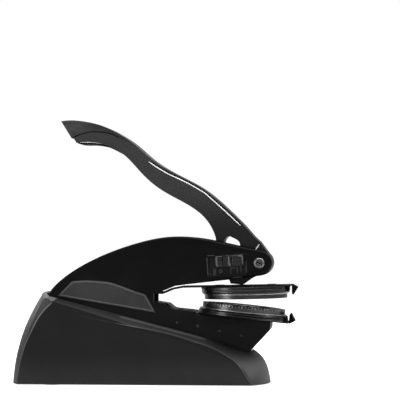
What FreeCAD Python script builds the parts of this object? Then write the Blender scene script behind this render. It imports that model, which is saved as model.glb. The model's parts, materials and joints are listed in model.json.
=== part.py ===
import FreeCAD, Part
import math
import os

# Desk seal embosser: a C-shaped hand press held nose-down in a wedge-shaped cradle.
# Millimetres. +X is the front, +Z is up, and the Y axis is the press's side-to-side direction.
# The origin is on the desk, midway between the back of the cradle and the tip of the upper hook.

# Cradle
cradle_length = 128.7
cradle_height = 45.2
cradle_half_width = 25.0
cradle_lean = 0.18
cradle_wall = 2.2
cradle_rim_gap = 0.4
nose_plan_radius = 50.0
back_plan_radius = 70.0
shoulder_drop = 8.5
shoulder_power = 3
floor_thickness = 1.8
floor_fit = 0.3
foot_radius = 5.0
foot_recess = 0.5
floor_screw_radius = 1.5
screw_head_radius = 2.8
screw_head_height = 1.4
boss_radius = 3.6
ballast_height = 6.0
ballast_gap = 0.2
press_screw_radius = 1.6
press_screw_bite = 7.0
screw_pad_depth = 3.4

# Press body
pivot_from_back = 123.7
pivot_height = 59.8
press_reach = 105.5
press_half_width = 12.2
cheek_wall = 2.3
nose_radius = 6.2
edge_round = 1.1
trough_fit = 0.25
jaw_pin_radius = 0.75
jaw_pin_proud = 0.25
body_screw_radius = 1.5
plate_thickness = 1.3
plate_proud = 0.4
plate_fit = 0.1

# Lever and its bearing
lever_reach = 98.7
lever_rise = 70.8
lever_half_width = 8.8
grip_half_width = 10.6
channel_half_width = 5.6
tang_half_width = 3.5
sleeve_radius = 2.3
sleeve_bore_fit = 0.05
pivot_shank_radius = 1.5
pivot_head_radius = 2.65
pivot_head_height = 1.0
slot_width = 0.7
slot_depth = 0.4
washer_thickness = 0.5
washer_radius = 4.6
handle_pin_radius = 1.2
spring_radius = 3.0
spring_wire_radius = 0.4
spring_turns = 4
spring_end_gap = 0.3
cup_radius = 4.6
cup_height = 4.6
cup_wall = 0.7
spring_post_radius = 1.7

# Die set, measured from the bend of the upper leaf
flex_setback = 37.8
flex_drop = 11.9
upper_tilt = 1.1
lower_tilt = 5.7
closed_gap = 0.3
die_reach = 30.4
upper_holder_radius = 22.2
lower_holder_radius = 22.8
holder_seat_depth = 0.5
upper_holder_thickness = 3.6
lower_holder_thickness = 3.0
die_radius = 20.6
upper_die_thickness = 2.3
lower_die_thickness = 2.4
relief_height = 0.3
recess_depth = 0.5
relief_fit = 0.15
leaf_thickness = 0.8
leaf_half_width = 9.0
leaf_fit = 0.3
clip_thickness = 1.0
clip_half_width = 8.0
hook_reach = 3.3
hook_half_width = 6.0
holder_groove_shares = (0.38, 0.52)
rivet_radius = 1.5
rivet_head_radius = 2.4
rivet_head_height = 0.3
rivet_spacing = 26.0

# Handle lock
lock_tilt = 4.0
lock_setback = 16.1
lock_drop = 0.9
lock_length = 19.0
lock_height = 10.6
lock_rim = 0.5
bezel_thickness = 1.2
bezel_recess = 0.7
knob_length = 13.9
knob_height = 5.6
knob_proud = 2.0
knob_back = 5.3
knob_low = 0.9
lock_travel = 3.4
lock_pin_radius = 0.8
lock_pin_forward = 1.8
lock_pin_lift = 3.7
lock_pin_tip = 6.4
lock_washer_radius = 1.7
lock_washer_thickness = 0.4

# Clearances shared by cuts and pins
overrun = 20.0
hole_fit = 0.05
slide_fit = 0.3

# Places worked out from the sizes
upper_stack = leaf_thickness / 2 + upper_holder_thickness + upper_die_thickness
lower_stack = lower_die_thickness + lower_holder_thickness + leaf_thickness
deck_drop = upper_stack + closed_gap + lower_stack
hook_tip_x = (die_reach + lower_holder_radius + hook_reach) * math.cos(math.radians(upper_tilt))
cradle_back_x = -(pivot_from_back - flex_setback + hook_tip_x) / 2
pivot_x = cradle_back_x + pivot_from_back
pivot_z = pivot_height
flex_x = pivot_x - flex_setback
flex_z = pivot_z - flex_drop
cheek_inside = press_half_width - cheek_wall

# Outlines, as shares (back from the pivot, up from the pivot) of press_reach
hump_shares = (
    (1.000, -0.188),
    (0.993, -0.149),
    (0.955, -0.098),
    (0.879, -0.039),
    (0.746, 0.032),
    (0.576, 0.093),
    (0.407, 0.124),
)
brow_shares = ((0.202, 0.102), (0.053, 0.070))
seat_back_share = (0.984, -0.2275)
seat_front_share = (0.0749, -0.4445)
jaw_chin_share = (-0.0400, -0.3205)
jaw_bow_share = (-0.0477, -0.3105)
jaw_lip_share = (-0.0509, -0.2980)
belly_front_share = (0.144, -0.0777)
hump_pocket_shares = (
    (0.932, -0.145),
    (0.856, -0.069),
    (0.704, 0.007),
    (0.553, 0.0635),
    (0.410, 0.092),
    (0.335, 0.085),
    (0.335, -0.0645),
    (0.458, -0.088),
    (0.543, -0.102),
    (0.572, -0.207),
    (0.875, -0.178),
)
lever_bay_shares = (
    (0.303, 0.300),
    (0.303, 0.040),
    (0.249, -0.017),
    (0.249, -0.065),
    (0.164, -0.065),
    (0.164, -0.140),
    (-0.150, -0.140),
    (-0.150, 0.300),
)
plate_top_shares = (
    (0.881, -0.086),
    (0.811, -0.082),
    (0.766, -0.084),
    (0.701, -0.091),
    (0.653, -0.106),
    (0.600, -0.126),
    (0.534, -0.148),
)
plate_low_shares = ((0.485, -0.233), (0.949, -0.1555))
plate_middle_share = (0.700, -0.150)
jaw_pin_shares = ((0.384, -0.2805), (0.288, -0.2955), (0.184, -0.3165), (0.083, -0.337))
body_screw_shares = ((0.760, -0.030), (0.380, 0.030))
press_screw_shares = (0.780, 0.287)
press_screw_side_share = 0.5

# Outlines in the tilted frame of the lower die, as shares (forward, up) of die_reach
throat_shares = ((0.060, 0.050), (-0.175, -0.005), (-0.316, -0.080), (-0.464, -0.160))
rim_shares = ((-0.452, -0.288), (-0.295, -0.295), (-0.191, -0.345), (-0.106, -0.374), (0.250, -0.374))
clip_bay_shares = (
    (0.095, 0.052),
    (-0.180, 0.012),
    (-0.385, -0.085),
    (-0.720, -0.085),
    (-0.720, -0.350),
    (-0.290, -0.350),
)
clip_low_shares = ((0.220, 0.0), (-0.136, 0.0), (-0.240, 0.070), (-0.560, 0.070))
clip_high_shares = ((-0.560, -0.150), (-0.340, -0.135), (-0.188, -0.051), (-0.019, -0.002))
clip_rivet_shares = (-0.05, 0.115)
leaf_back_share = -0.190

# Hook at the front of each leaf, as shares (forward of the rim, toward the holder) of its reach
hook_shares = ((-0.05, 0.0), (0.25, 0.0), (1.00, 0.45), (0.25, 1.60), (0.08, 1.35), (0.08, 0.20), (-0.05, 0.20))

# Lever outline, as shares (back, up) of lever_reach and lever_rise from the pivot
lever_top_shares = (
    (1.000, 0.994),
    (0.958, 1.000),
    (0.876, 0.990),
    (0.794, 0.962),
    (0.712, 0.908),
    (0.630, 0.831),
    (0.549, 0.733),
    (0.467, 0.657),
    (0.386, 0.597),
    (0.305, 0.537),
    (0.224, 0.455),
    (0.143, 0.352),
    (0.0618, 0.237),
    (0.0213, 0.174),
)
lever_under_shares = (
    (0.923, 0.843),
    (0.841, 0.845),
    (0.760, 0.819),
    (0.679, 0.754),
    (0.599, 0.638),
    (0.518, 0.535),
    (0.437, 0.465),
    (0.357, 0.404),
    (0.276, 0.316),
    (0.236, 0.233),
    (0.220, 0.171),
)
lever_tip_shares = ((0.947, 0.874), (0.934, 0.870))
cap_seam_shares = (
    (0.975, 0.858),
    (0.947, 0.874),
    (0.932, 0.884),
    (0.881, 0.910),
    (0.830, 0.919),
    (0.750, 0.905),
    (0.677, 0.852),
    (0.620, 0.805),
    (0.575, 0.766),
    (0.530, 0.745),
)
channel_shift_shares = (0.020, -0.052)
channel_reach_shares = (0.90, 0.30)

# Lower end of the lever, as shares (back, up) of flex_setback from the pivot
leg_shares = ((0.574, 0.124), (0.423, 0.124), (0.423, 0.164), (0.476, 0.164), (0.476, 0.270))
window_shares = ((0.455, 0.320), (0.410, 0.352), (0.357, 0.333), (0.304, 0.307), (0.265, 0.267), (0.259, 0.235))
arm_low_shares = ((0.235, 0.150), (0.090, 0.150))
seam_top_share = (0.003, 0.280)
core_rear_shares = ((0.2465, 0.010), (0.399, -0.130), (0.399, -0.222), (0.381, -0.2698))
cam_front_shares = ((0.2275, -0.2817), (0.108, -0.198))
tang_shares = (
    (0.190, 0.120),
    (0.085, 0.120),
    (0.063, 0.200),
    (0.347, 0.529),
    (0.430, 0.462),
    (0.200, 0.215),
)
handle_pin_shares = ((0.150, 0.235), (0.340, 0.430))
spring_place_share = (0.529, 0.0)

# Cradle profile, as shares (forward from the back, up) of cradle_length and cradle_height
cradle_back_shares = (
    (-0.004, -0.265),
    (0.000, 0.000),
    (0.0078, 0.215),
    (0.021, 0.391),
    (0.0404, 0.571),
    (0.0676, 0.748),
    (0.112, 0.972),
)
cradle_crown_shares = ((0.120, 1.000), (0.142, 0.982))
cradle_nose_shares = (
    (0.770, 0.5325),
    (0.860, 0.455),
    (0.930, 0.374),
    (0.973, 0.265),
    (0.993, 0.122),
    (1.000, 0.000),
    (1.004, -0.265),
)
loft_side_shares = (0.0, 0.36, 0.72, 1.12)
floor_screw_shares = ((0.10, 0.50), (0.825, 0.52))
foot_shares = ((0.17, 0.66), (0.905, 0.50))
ballast_reach_shares = (0.16, 0.74)
ballast_side_share = 0.64
slot_arm_share = 0.6
narrow_arm_share = 0.85
relief_ring_shares = ((0.94, 0.90), (0.70, 0.67))
bead_circle_share = 0.80
bead_share = 0.04
star_shares = (0.55, 0.24)

# Lock knob: its splits along the knob, then the steps and rounds of its front
knob_split_shares = (0.26, 0.44, 0.53, 0.58)
knob_base_share = 0.35
pad_drop_share = 0.25
pad_foot_share = 0.06
lobe_round_share = 0.4
pad_round_share = 0.3


def point(x, z, y=0.0):
    return FreeCAD.Vector(x, y, z)


def from_pivot(share, reach, rise=None):
    """A point given as shares back and up from the pivot."""
    scale = reach if rise is None else rise
    return point(pivot_x - share[0] * reach, pivot_z + share[1] * scale)


def on_press(share):
    return from_pivot(share, press_reach)


def on_lever(share):
    return from_pivot(share, lever_reach, lever_rise)


def near_pivot(share):
    return from_pivot(share, flex_setback)


def on_lower(forward, up):
    """A point in the tilted frame of the lower die, whose origin is the bend of the upper leaf."""
    angle = math.radians(lower_tilt)
    x = flex_x + forward * math.cos(angle) + up * math.sin(angle)
    z = flex_z - forward * math.sin(angle) + up * math.cos(angle)
    return point(x, z)


def on_die_set(share):
    return on_lower(share[0] * die_reach, share[1] * die_reach)


def line(start, end):
    return Part.LineSegment(start, end).toShape()


def arc(start, middle, end):
    return Part.Arc(start, middle, end).toShape()


def curve(points):
    spline = Part.BSplineCurve()
    spline.interpolate(points)
    return spline.toShape()


def curve_into(points, onward):
    """A curve through the points that leaves the last one straight toward another point."""
    chord = (points[1] - points[0]).normalize()
    leaving = (onward - points[-1]).normalize()
    spline = Part.BSplineCurve()
    spline.interpolate(Points=points, InitialTangent=chord, FinalTangent=leaving, Scale=False)
    return spline.toShape()


def touch_point(centre, radius, target, side):
    """Where a line from the target touches a circle; side is +1 or -1."""
    away = target - centre
    turn = math.atan2(away.z, away.x) + side * math.acos(radius / away.Length)
    return centre + point(radius * math.cos(turn), radius * math.sin(turn))


def chain(points):
    """Straight edges from point to point."""
    return [line(a, b) for a, b in zip(points, points[1:])]


def slab(edges, low, high):
    """A closed outline in the XZ plane, made solid from y = low to y = high."""
    face = Part.Face(Part.Wire(Part.__sortEdges__(edges)))
    face.translate(point(0, 0, low))
    return face.extrude(point(0, 0, high - low))


def plate(points, low, high):
    """A slab with straight sides."""
    return slab(chain(list(points) + [points[0]]), low, high)


def cross_rod(centre, radius, low, high):
    """A round bar along Y through a point of the XZ plane."""
    return Part.makeCylinder(radius, high - low, point(centre.x, centre.z, low), point(0, 0, 1))


def post(x, y, radius, low, high):
    """A round bar along Z."""
    return Part.makeCylinder(radius, high - low, point(x, low, y), point(0, 1))


def box(x_low, x_high, y_low, y_high, z_low, z_high):
    return Part.makeBox(x_high - x_low, y_high - y_low, z_high - z_low, point(x_low, z_low, y_low))


def disc(forward, side, radius, low, high):
    """A round bar along the normal of a die, in the die's own frame."""
    return Part.makeCylinder(radius, high - low, point(forward, low, side), point(0, 1))


def tilt(shape, nose_up):
    """Carry a shape from the die frame, whose origin is the bend of the upper leaf, to its place."""
    shape.rotate(point(0, 0), point(0, 0, 1), -nose_up)
    shape.translate(point(flex_x, flex_z))
    return shape


def to_upper(shape):
    return tilt(shape, upper_tilt)


def to_lower(shape):
    return tilt(shape, -lower_tilt)


def mirrored(shape):
    return shape.mirror(point(0, 0), point(0, 0, 1))


def both_sides(shape):
    return [shape, mirrored(shape)]


def fused(shapes):
    return shapes[0].fuse(list(shapes[1:]))


def joined(shapes):
    """One solid from shapes that overlap or touch, without seams between flush faces."""
    return fused(shapes).removeSplitter()


def bent_strip(points, thickness, half_width):
    """A strip of even thickness whose middle follows the points."""
    left = []
    right = []
    for index, here in enumerate(points):
        before = points[max(index - 1, 0)]
        after = points[min(index + 1, len(points) - 1)]
        first = (here - before) if index > 0 else (after - here)
        second = (after - here) if index < len(points) - 1 else first
        first.normalize()
        second.normalize()
        normal_a = point(-first.z, first.x)
        normal_b = point(-second.z, second.x)
        mitre = normal_a + normal_b
        mitre = mitre * (thickness / mitre.dot(normal_a) / 2)
        left.append(here + mitre)
        right.append(here - mitre)
    return plate(left + right[::-1], -half_width, half_width)


def export(shapes, node):
    """Write one node: a solid, or a group of separate solids."""
    if isinstance(shapes, list):
        shape = Part.makeCompound([solid for each in shapes for solid in each.Solids])
    else:
        shape = Part.makeCompound(shapes.Solids) if len(shapes.Solids) > 1 else shapes.Solids[0]
    shape.exportStep("parts/" + node + ".step")
    print(node, len(shape.Solids), shape.isValid(), round(shape.Volume))


# Cradle


def cradle_profile(inset, side):
    """Closed side profile at this distance from the middle, moved in by the inset."""
    drop = shoulder_drop * abs(side / cradle_half_width) ** shoulder_power

    def place(share, shift):
        return point(cradle_back_x + share[0] * cradle_length + shift, share[1] * cradle_height - inset - drop)

    back = plan_shift(side, back_plan_radius) + inset
    front = plan_shift(side, nose_plan_radius) + inset
    back_points = [place(share, back) for share in cradle_back_shares]
    crown_points = [place(share, back) for share in cradle_crown_shares]
    nose_points = [place(share, -front) for share in cradle_nose_shares]
    return [
        curve(back_points),
        arc(back_points[-1], crown_points[0], crown_points[1]),
        line(crown_points[1], nose_points[0]),
        curve(nose_points),
        line(nose_points[-1], back_points[0]),
    ]


def plan_shift(side, radius):
    return radius - math.sqrt(radius ** 2 - side ** 2)


def cradle_form(inset):
    """The outer form of the cradle, or the form moved in by a wall."""
    sections = []
    shares = [-share for share in loft_side_shares[:0:-1]] + list(loft_side_shares)
    for share in shares:
        side = share * cradle_half_width
        wire = Part.Wire(cradle_profile(inset, side))
        wire.translate(point(0, 0, side))
        sections.append(wire)
    body = Part.makeLoft(sections, True, False)
    top = cradle_height
    bottom = cradle_rim_gap - cradle_height
    half_low = cradle_half_width - inset - cradle_lean * bottom
    half_top = cradle_half_width - inset - cradle_lean * (top + overrun)
    walls = [(-half_low, bottom), (half_low, bottom), (half_top, top + overrun), (-half_top, top + overrun)]
    corners = [point(cradle_back_x - overrun, z, y) for y, z in walls]
    leaning = Part.Face(Part.Wire(chain(corners + corners[:1]))).extrude(point(cradle_length + overrun * 2, 0))
    body = body.common(leaning)
    floor = box(
        cradle_back_x - overrun, -cradle_back_x + overrun, -overrun * 2, overrun * 2,
        cradle_rim_gap, cradle_height + overrun,
    )
    return body.common(floor) if inset == 0 else body


def trough_corners(grow):
    """The pocket that takes the press, seen from the side; the press rests on its sloping floor."""
    seat_back = on_press(seat_back_share)
    seat_front = on_press(seat_front_share)
    rear = on_press(hump_shares[0])
    chin = on_press(jaw_chin_share)
    along = (seat_front - seat_back).normalize()
    down = point(along.z, -along.x) * grow
    back_step = along * -(trough_fit + grow)
    front_step = point(trough_fit + grow, 0)
    rise = (chin - seat_front) * 2
    high = rear.z + cradle_height
    return [
        point(rear.x + back_step.x, high),
        rear + back_step,
        seat_back + back_step + down,
        seat_front + along * (trough_fit + grow) + down,
        seat_front + rise + front_step,
        point(seat_front.x + rise.x + front_step.x, high),
    ]


def cradle_place(share):
    return cradle_back_x + share[0] * cradle_length, share[1] * cradle_half_width


def mirrored_pairs(places):
    pairs = []
    for share in places:
        x, y = cradle_place(share)
        pairs.append((x, y))
        pairs.append((x, -y))
    return pairs


floor_bottom = cradle_rim_gap + foot_recess
floor_top = floor_bottom + floor_thickness


def seat_height(x):
    """Height of the press's underside above the desk."""
    a = on_press(seat_back_share)
    b = on_press(seat_front_share)
    return a.z + (b.z - a.z) * (x - a.x) / (b.x - a.x)


def press_screw_spots():
    spots = []
    for share in press_screw_shares:
        x = pivot_x - share * press_reach
        side = press_half_width * press_screw_side_share
        spots.append((x, side))
        spots.append((x, -side))
    return spots


def press_screw_head_top(x):
    return seat_height(x) - screw_pad_depth


def make_cradle():
    outer = cradle_form(0)
    cavity = cradle_form(cradle_wall)
    half_trough = press_half_width + trough_fit
    keep = plate(trough_corners(cradle_wall), -half_trough - cradle_wall, half_trough + cradle_wall)
    shell = outer.cut(cavity.cut(keep))
    bosses = [post(x, y, boss_radius, floor_top, cradle_height) for x, y in mirrored_pairs(floor_screw_shares)]
    pads = []
    for x, y in press_screw_spots():
        pads.append(post(x, y, boss_radius, press_screw_head_top(x), seat_height(x)))
    shell = fused([shell] + [boss.common(outer) for boss in bosses] + pads)
    shell = shell.cut(plate(trough_corners(0), -half_trough, half_trough))
    screws = []
    for x, y in mirrored_pairs(floor_screw_shares):
        bite = floor_top + boss_radius * 2
        shell = shell.cut(post(x, y, floor_screw_radius + hole_fit, floor_bottom, bite))
        shank = post(x, y, floor_screw_radius, floor_bottom, bite - hole_fit)
        head = post(x, y, screw_head_radius, floor_bottom, floor_bottom + screw_head_height)
        screws.append(joined([shank, head]).cut(cross_slot(x, y, floor_bottom)))
    for x, y in press_screw_spots():
        top = seat_height(x) + press_screw_bite
        seat = press_screw_head_top(x)
        shell = shell.cut(post(x, y, press_screw_radius + hole_fit, seat - overrun, top))
        shell = shell.cut(post(x, y, screw_head_radius + floor_fit, floor_bottom, seat))
    export(shell, "cradle_shell")
    export(screws, "floor_screws")
    make_floor(cavity, keep)


def cross_slot(x, y, level):
    """The cross recess of a screw head that faces down."""
    arm = screw_head_radius * slot_arm_share
    bars = [
        box(x - arm, x + arm, y - slot_width / 2, y + slot_width / 2, level, level + slot_depth),
        box(x - slot_width / 2, x + slot_width / 2, y - arm, y + arm, level, level + slot_depth),
    ]
    return joined(bars)


def make_floor(cavity, keep):
    inner = cradle_form(cradle_wall + floor_fit)
    span = box(cradle_back_x, -cradle_back_x, -cradle_half_width, cradle_half_width, floor_bottom, floor_top)
    cover = inner.common(span)
    feet = []
    for x, y in mirrored_pairs(foot_shares):
        cover = cover.cut(post(x, y, foot_radius + hole_fit, floor_bottom, floor_bottom + foot_recess))
        feet.append(post(x, y, foot_radius, 0, floor_bottom + foot_recess))
    for x, y in mirrored_pairs(floor_screw_shares):
        cover = cover.cut(post(x, y, floor_screw_radius + hole_fit, floor_bottom, floor_top))
        cover = cover.cut(post(x, y, screw_head_radius + hole_fit, floor_bottom, floor_bottom + screw_head_height))
    export(cover, "cradle_floor")
    export(feet, "rubber_feet")
    x_low = cradle_back_x + ballast_reach_shares[0] * cradle_length
    x_high = cradle_back_x + ballast_reach_shares[1] * cradle_length
    half = cradle_half_width * ballast_side_share
    low = floor_top + ballast_gap
    export(box(x_low, x_high, -half, half, low, low + ballast_height), "ballast_plate")


def make_press_screws():
    screws = []
    for x, y in press_screw_spots():
        seat = press_screw_head_top(x)
        shank = post(x, y, press_screw_radius, seat, seat_height(x) + press_screw_bite - hole_fit)
        head = post(x, y, screw_head_radius, seat - screw_head_height * 2, seat)
        screws.append(joined([shank, head]).cut(cross_slot(x, y, seat - screw_head_height * 2)))
    export(screws, "press_screws")


# Press body


def deck_point(forward):
    return on_lower(forward, -deck_drop)


def deck_at(x):
    """The point of the lower deck line that has this x."""
    angle = math.radians(lower_tilt)
    start = deck_point(0)
    return point(x, start.z - (x - start.x) * math.tan(angle))


def body_outline():
    hump = [on_press(share) for share in hump_shares + brow_shares]
    pivot = point(pivot_x, pivot_z)
    belly = on_press(belly_front_share)
    nose_top = touch_point(pivot, nose_radius, hump[-1], -1)
    nose_low = touch_point(pivot, nose_radius, belly, 1)
    throat = [on_die_set(share) for share in throat_shares]
    rim = [on_die_set(share) for share in rim_shares]
    lip = on_press(jaw_lip_share)
    bow = on_press(jaw_bow_share)
    chin = on_press(jaw_chin_share)
    seat_front = on_press(seat_front_share)
    seat_back = on_press(seat_back_share)
    under = [nose_low, belly] + throat + rim + [deck_at(rim[-1].x), deck_at(lip.x), lip]
    return (
        [curve_into(hump, nose_top), line(hump[-1], nose_top)]
        + [arc(nose_top, pivot + point(nose_radius, 0), nose_low)]
        + chain(under)
        + [arc(lip, bow, chin)]
        + chain([chin, seat_front, seat_back, hump[0]])
    )


def rounded_half():
    """One half of the press body on the +Y side, rounded along the hump and the nose."""
    half = slab(body_outline(), 0, press_half_width)
    rims = [edge for edge in half.Edges if on_face(edge, press_half_width)]
    rims = [edge for edge in rims if edge.BoundBox.ZMax > pivot_z + edge_round]
    return half.makeFillet(edge_round, rims)


def die_channel():
    """The channel between the rims of the lower jaw, and the bay behind the throat for the clip."""
    half = leaf_half_width + leaf_fit
    back = clip_bay_shares[-1][0] * die_reach
    front = rim_shares[-1][0] * die_reach + holder_seat_depth
    floor = -deck_drop
    channel = [on_lower(back, floor), on_lower(front, floor), on_lower(front, -upper_stack), on_lower(back, -upper_stack)]
    bay = [on_die_set(share) for share in clip_bay_shares]
    return [plate(channel, -half, half), plate(bay, -half, half)]


def plate_edges(grow):
    """Outline of the side plate, or of its recess when grown by a fit."""
    middle = on_press(plate_middle_share)

    def place(share):
        corner = on_press(share)
        away = (corner - middle).normalize()
        return corner + away * grow

    top = [place(share) for share in plate_top_shares]
    low = [place(share) for share in plate_low_shares]
    return [curve(top)] + chain([top[-1], low[0], low[1], top[0]])


def lock_point(forward, up):
    """A point in the tilted frame of the lock window."""
    angle = math.radians(lock_tilt)
    x = pivot_x - lock_setback + forward * math.cos(angle) - up * math.sin(angle)
    z = pivot_z - lock_drop + forward * math.sin(angle) + up * math.cos(angle)
    return point(x, z)


def lock_block(x_low, x_high, z_low, z_high, y_low, y_high):
    """A block that lies along the lock window."""
    corners = [(x_low, z_low), (x_high, z_low), (x_high, z_high), (x_low, z_high)]
    return plate([lock_point(a, b) for a, b in corners], y_low, y_high)


def lock_slot_block(y_low, y_high):
    """The slot in which the lock pin travels."""
    half = lock_pin_radius + slide_fit
    back = lock_pin_forward - lock_travel - half
    front = lock_pin_forward + half
    return lock_block(back, front, lock_pin_lift - half, lock_pin_lift + half, y_low, y_high)


def make_press():
    pocket = plate([on_press(share) for share in hump_pocket_shares], 0, cheek_inside)
    bay = plate([on_press(share) for share in lever_bay_shares], 0, cheek_inside)
    half = rounded_half().cut([pocket, bay] + die_channel())
    column_radius = body_screw_radius * 2
    columns = [cross_rod(on_press(share), column_radius, 0, press_half_width - edge_round) for share in body_screw_shares]
    half = joined([half] + columns)
    recess = slab(plate_edges(plate_fit), press_half_width - plate_thickness + plate_proud, press_half_width + overrun)
    pivot = point(pivot_x, pivot_z)
    cuts = [recess, cross_rod(pivot, sleeve_radius + hole_fit, 0, press_half_width + overrun)]
    for share in jaw_pin_shares:
        cuts.append(cross_rod(on_press(share), jaw_pin_radius + hole_fit, -overrun, press_half_width + overrun))
    half = half.cut(cuts)
    screw_cuts = []
    for x, y in press_screw_spots():
        screw_cuts.append(post(x, y, press_screw_radius + hole_fit, 0, seat_height(x) + press_screw_bite))
    far = half.cut(screw_cuts)
    near = mirrored(half).cut(screw_cuts)
    body_screws = []
    for share in body_screw_shares:
        centre = on_press(share)
        head_low = press_half_width - screw_head_height
        blind = -press_half_width + cheek_wall
        far = far.cut(cross_rod(centre, body_screw_radius + hole_fit, -overrun, press_half_width + overrun))
        far = far.cut(cross_rod(centre, screw_head_radius + hole_fit, head_low, press_half_width + overrun))
        near = near.cut(cross_rod(centre, body_screw_radius + hole_fit, blind, overrun))
        shank = cross_rod(centre, body_screw_radius, blind + hole_fit, head_low + hole_fit)
        head = cross_rod(centre, screw_head_radius, head_low, press_half_width)
        slot = plate(
            [
                centre + point(-screw_head_radius, -slot_width / 2),
                centre + point(screw_head_radius, -slot_width / 2),
                centre + point(screw_head_radius, slot_width / 2),
                centre + point(-screw_head_radius, slot_width / 2),
            ],
            press_half_width - slot_depth,
            press_half_width + overrun,
        )
        body_screws.append(joined([shank, head]).cut(slot))
    window = lock_block(
        -lock_length / 2 - plate_fit, lock_length / 2 + plate_fit,
        -lock_height / 2 - plate_fit, lock_height / 2 + plate_fit,
        -press_half_width - overrun, -press_half_width + bezel_thickness,
    )
    near = near.cut([window, lock_slot_block(-press_half_width - overrun, 0)])
    export(near, "press_half_near")
    export(far, "press_half_far")
    export(body_screws, "body_screws")
    reach = press_half_width + jaw_pin_proud
    pins = [cross_rod(on_press(share), jaw_pin_radius, -reach, reach) for share in jaw_pin_shares]
    export(pins, "jaw_pins")
    cover = slab(plate_edges(0), press_half_width - plate_thickness + plate_proud, press_half_width + plate_proud)
    export(cover, "nameplate_far")
    export(mirrored(cover), "nameplate_near")


# Lever


def lever_outline():
    top = [on_lever(share) for share in lever_top_shares]
    under = [on_lever(share) for share in lever_under_shares]
    tip = [on_lever(share) for share in lever_tip_shares]
    leg = [near_pivot(share) for share in leg_shares]
    window = [near_pivot(share) for share in window_shares]
    arm_low = [near_pivot(share) for share in arm_low_shares]
    seam_top = near_pivot(seam_top_share)
    top.append(seam_top)
    inner = [leg[-1]] + window
    return (
        [curve(top)]
        + chain([seam_top, arm_low[1], arm_low[0], window[-1]])
        + [curve(inner[::-1])]
        + chain([leg[4], leg[3], leg[2], leg[1], point(under[-1].x, leg[0].z), under[-1]])
        + [curve(under[::-1])]
        + chain([under[0], tip[1], tip[0], top[0]])
    )


def lever_plan():
    """The grip is wider than the arm that goes between the cheeks."""
    start = pivot_x - lever_reach - overrun
    wide = pivot_x - lever_reach / 2
    narrow = pivot_x - flex_setback * narrow_arm_share
    end = pivot_x + overrun
    upper = [(start, grip_half_width), (wide, grip_half_width), (narrow, lever_half_width), (end, lever_half_width)]
    corners = [point(x, 0, y) for x, y in upper] + [point(x, 0, -y) for x, y in upper[::-1]]
    face = Part.Face(Part.Wire(chain(corners + corners[:1])))
    return face.extrude(point(0, pivot_z + lever_rise + overrun))


def cap_region():
    seam = [on_lever(share) for share in cap_seam_shares]
    high = pivot_z + lever_rise + overrun
    corners = [seam[-1], point(seam[-1].x, high), point(seam[0].x - overrun, high), point(seam[0].x - overrun, seam[0].z), seam[0]]
    return slab([curve(seam)] + chain(corners), -overrun, overrun)


def tang():
    return plate([near_pivot(share) for share in tang_shares], -tang_half_width, tang_half_width)


def make_lever():
    body = slab(lever_outline(), -grip_half_width, grip_half_width)
    inner = slab(lever_outline(), -channel_half_width, channel_half_width)
    inner.translate(point(-channel_shift_shares[0] * lever_reach, channel_shift_shares[1] * lever_rise))
    limits = box(
        pivot_x - channel_reach_shares[0] * lever_reach, pivot_x - channel_reach_shares[1] * lever_reach,
        -grip_half_width, grip_half_width, pivot_z, pivot_z + lever_rise,
    )
    body = body.common(lever_plan())
    region = cap_region()
    handle = body.cut([region, tang(), inner.common(limits)])
    cap = body.common(region)
    pins = []
    for share in handle_pin_shares:
        centre = near_pivot(share)
        handle = handle.cut(cross_rod(centre, handle_pin_radius + hole_fit, -tang_half_width * 2, tang_half_width * 2))
        pins.append(cross_rod(centre, handle_pin_radius, -tang_half_width * 2, tang_half_width * 2))
    export(handle, "lever_handle")
    export(cap, "grip_cap")
    export(pins, "handle_pins")
    make_core()


def make_core():
    pivot = point(pivot_x, pivot_z)
    arm_low = [near_pivot(share) for share in arm_low_shares]
    arm_low = [corner - point(0, hole_fit) for corner in arm_low]
    seam_top = near_pivot(seam_top_share)
    knuckle = []
    for degrees in (39, -30, -99):
        turn = math.radians(degrees)
        knuckle.append(pivot + point(nose_radius * math.cos(turn), nose_radius * math.sin(turn)))
    rear = [near_pivot(share) for share in core_rear_shares]
    cam = [near_pivot(share) for share in cam_front_shares]
    edges = [line(seam_top, knuckle[0]), arc(*knuckle)]
    edges += chain([knuckle[-1], cam[1], cam[0]] + rear[::-1] + [arm_low[0], arm_low[1], seam_top])
    core = slab(edges, -lever_half_width, lever_half_width)
    core = joined([core, tang()])
    core = core.cut(cross_rod(pivot, sleeve_radius + sleeve_bore_fit, -overrun, overrun))
    for share in handle_pin_shares:
        core = core.cut(cross_rod(near_pivot(share), handle_pin_radius + hole_fit, -overrun, overrun))
    export(core, "lever_core")


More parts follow.
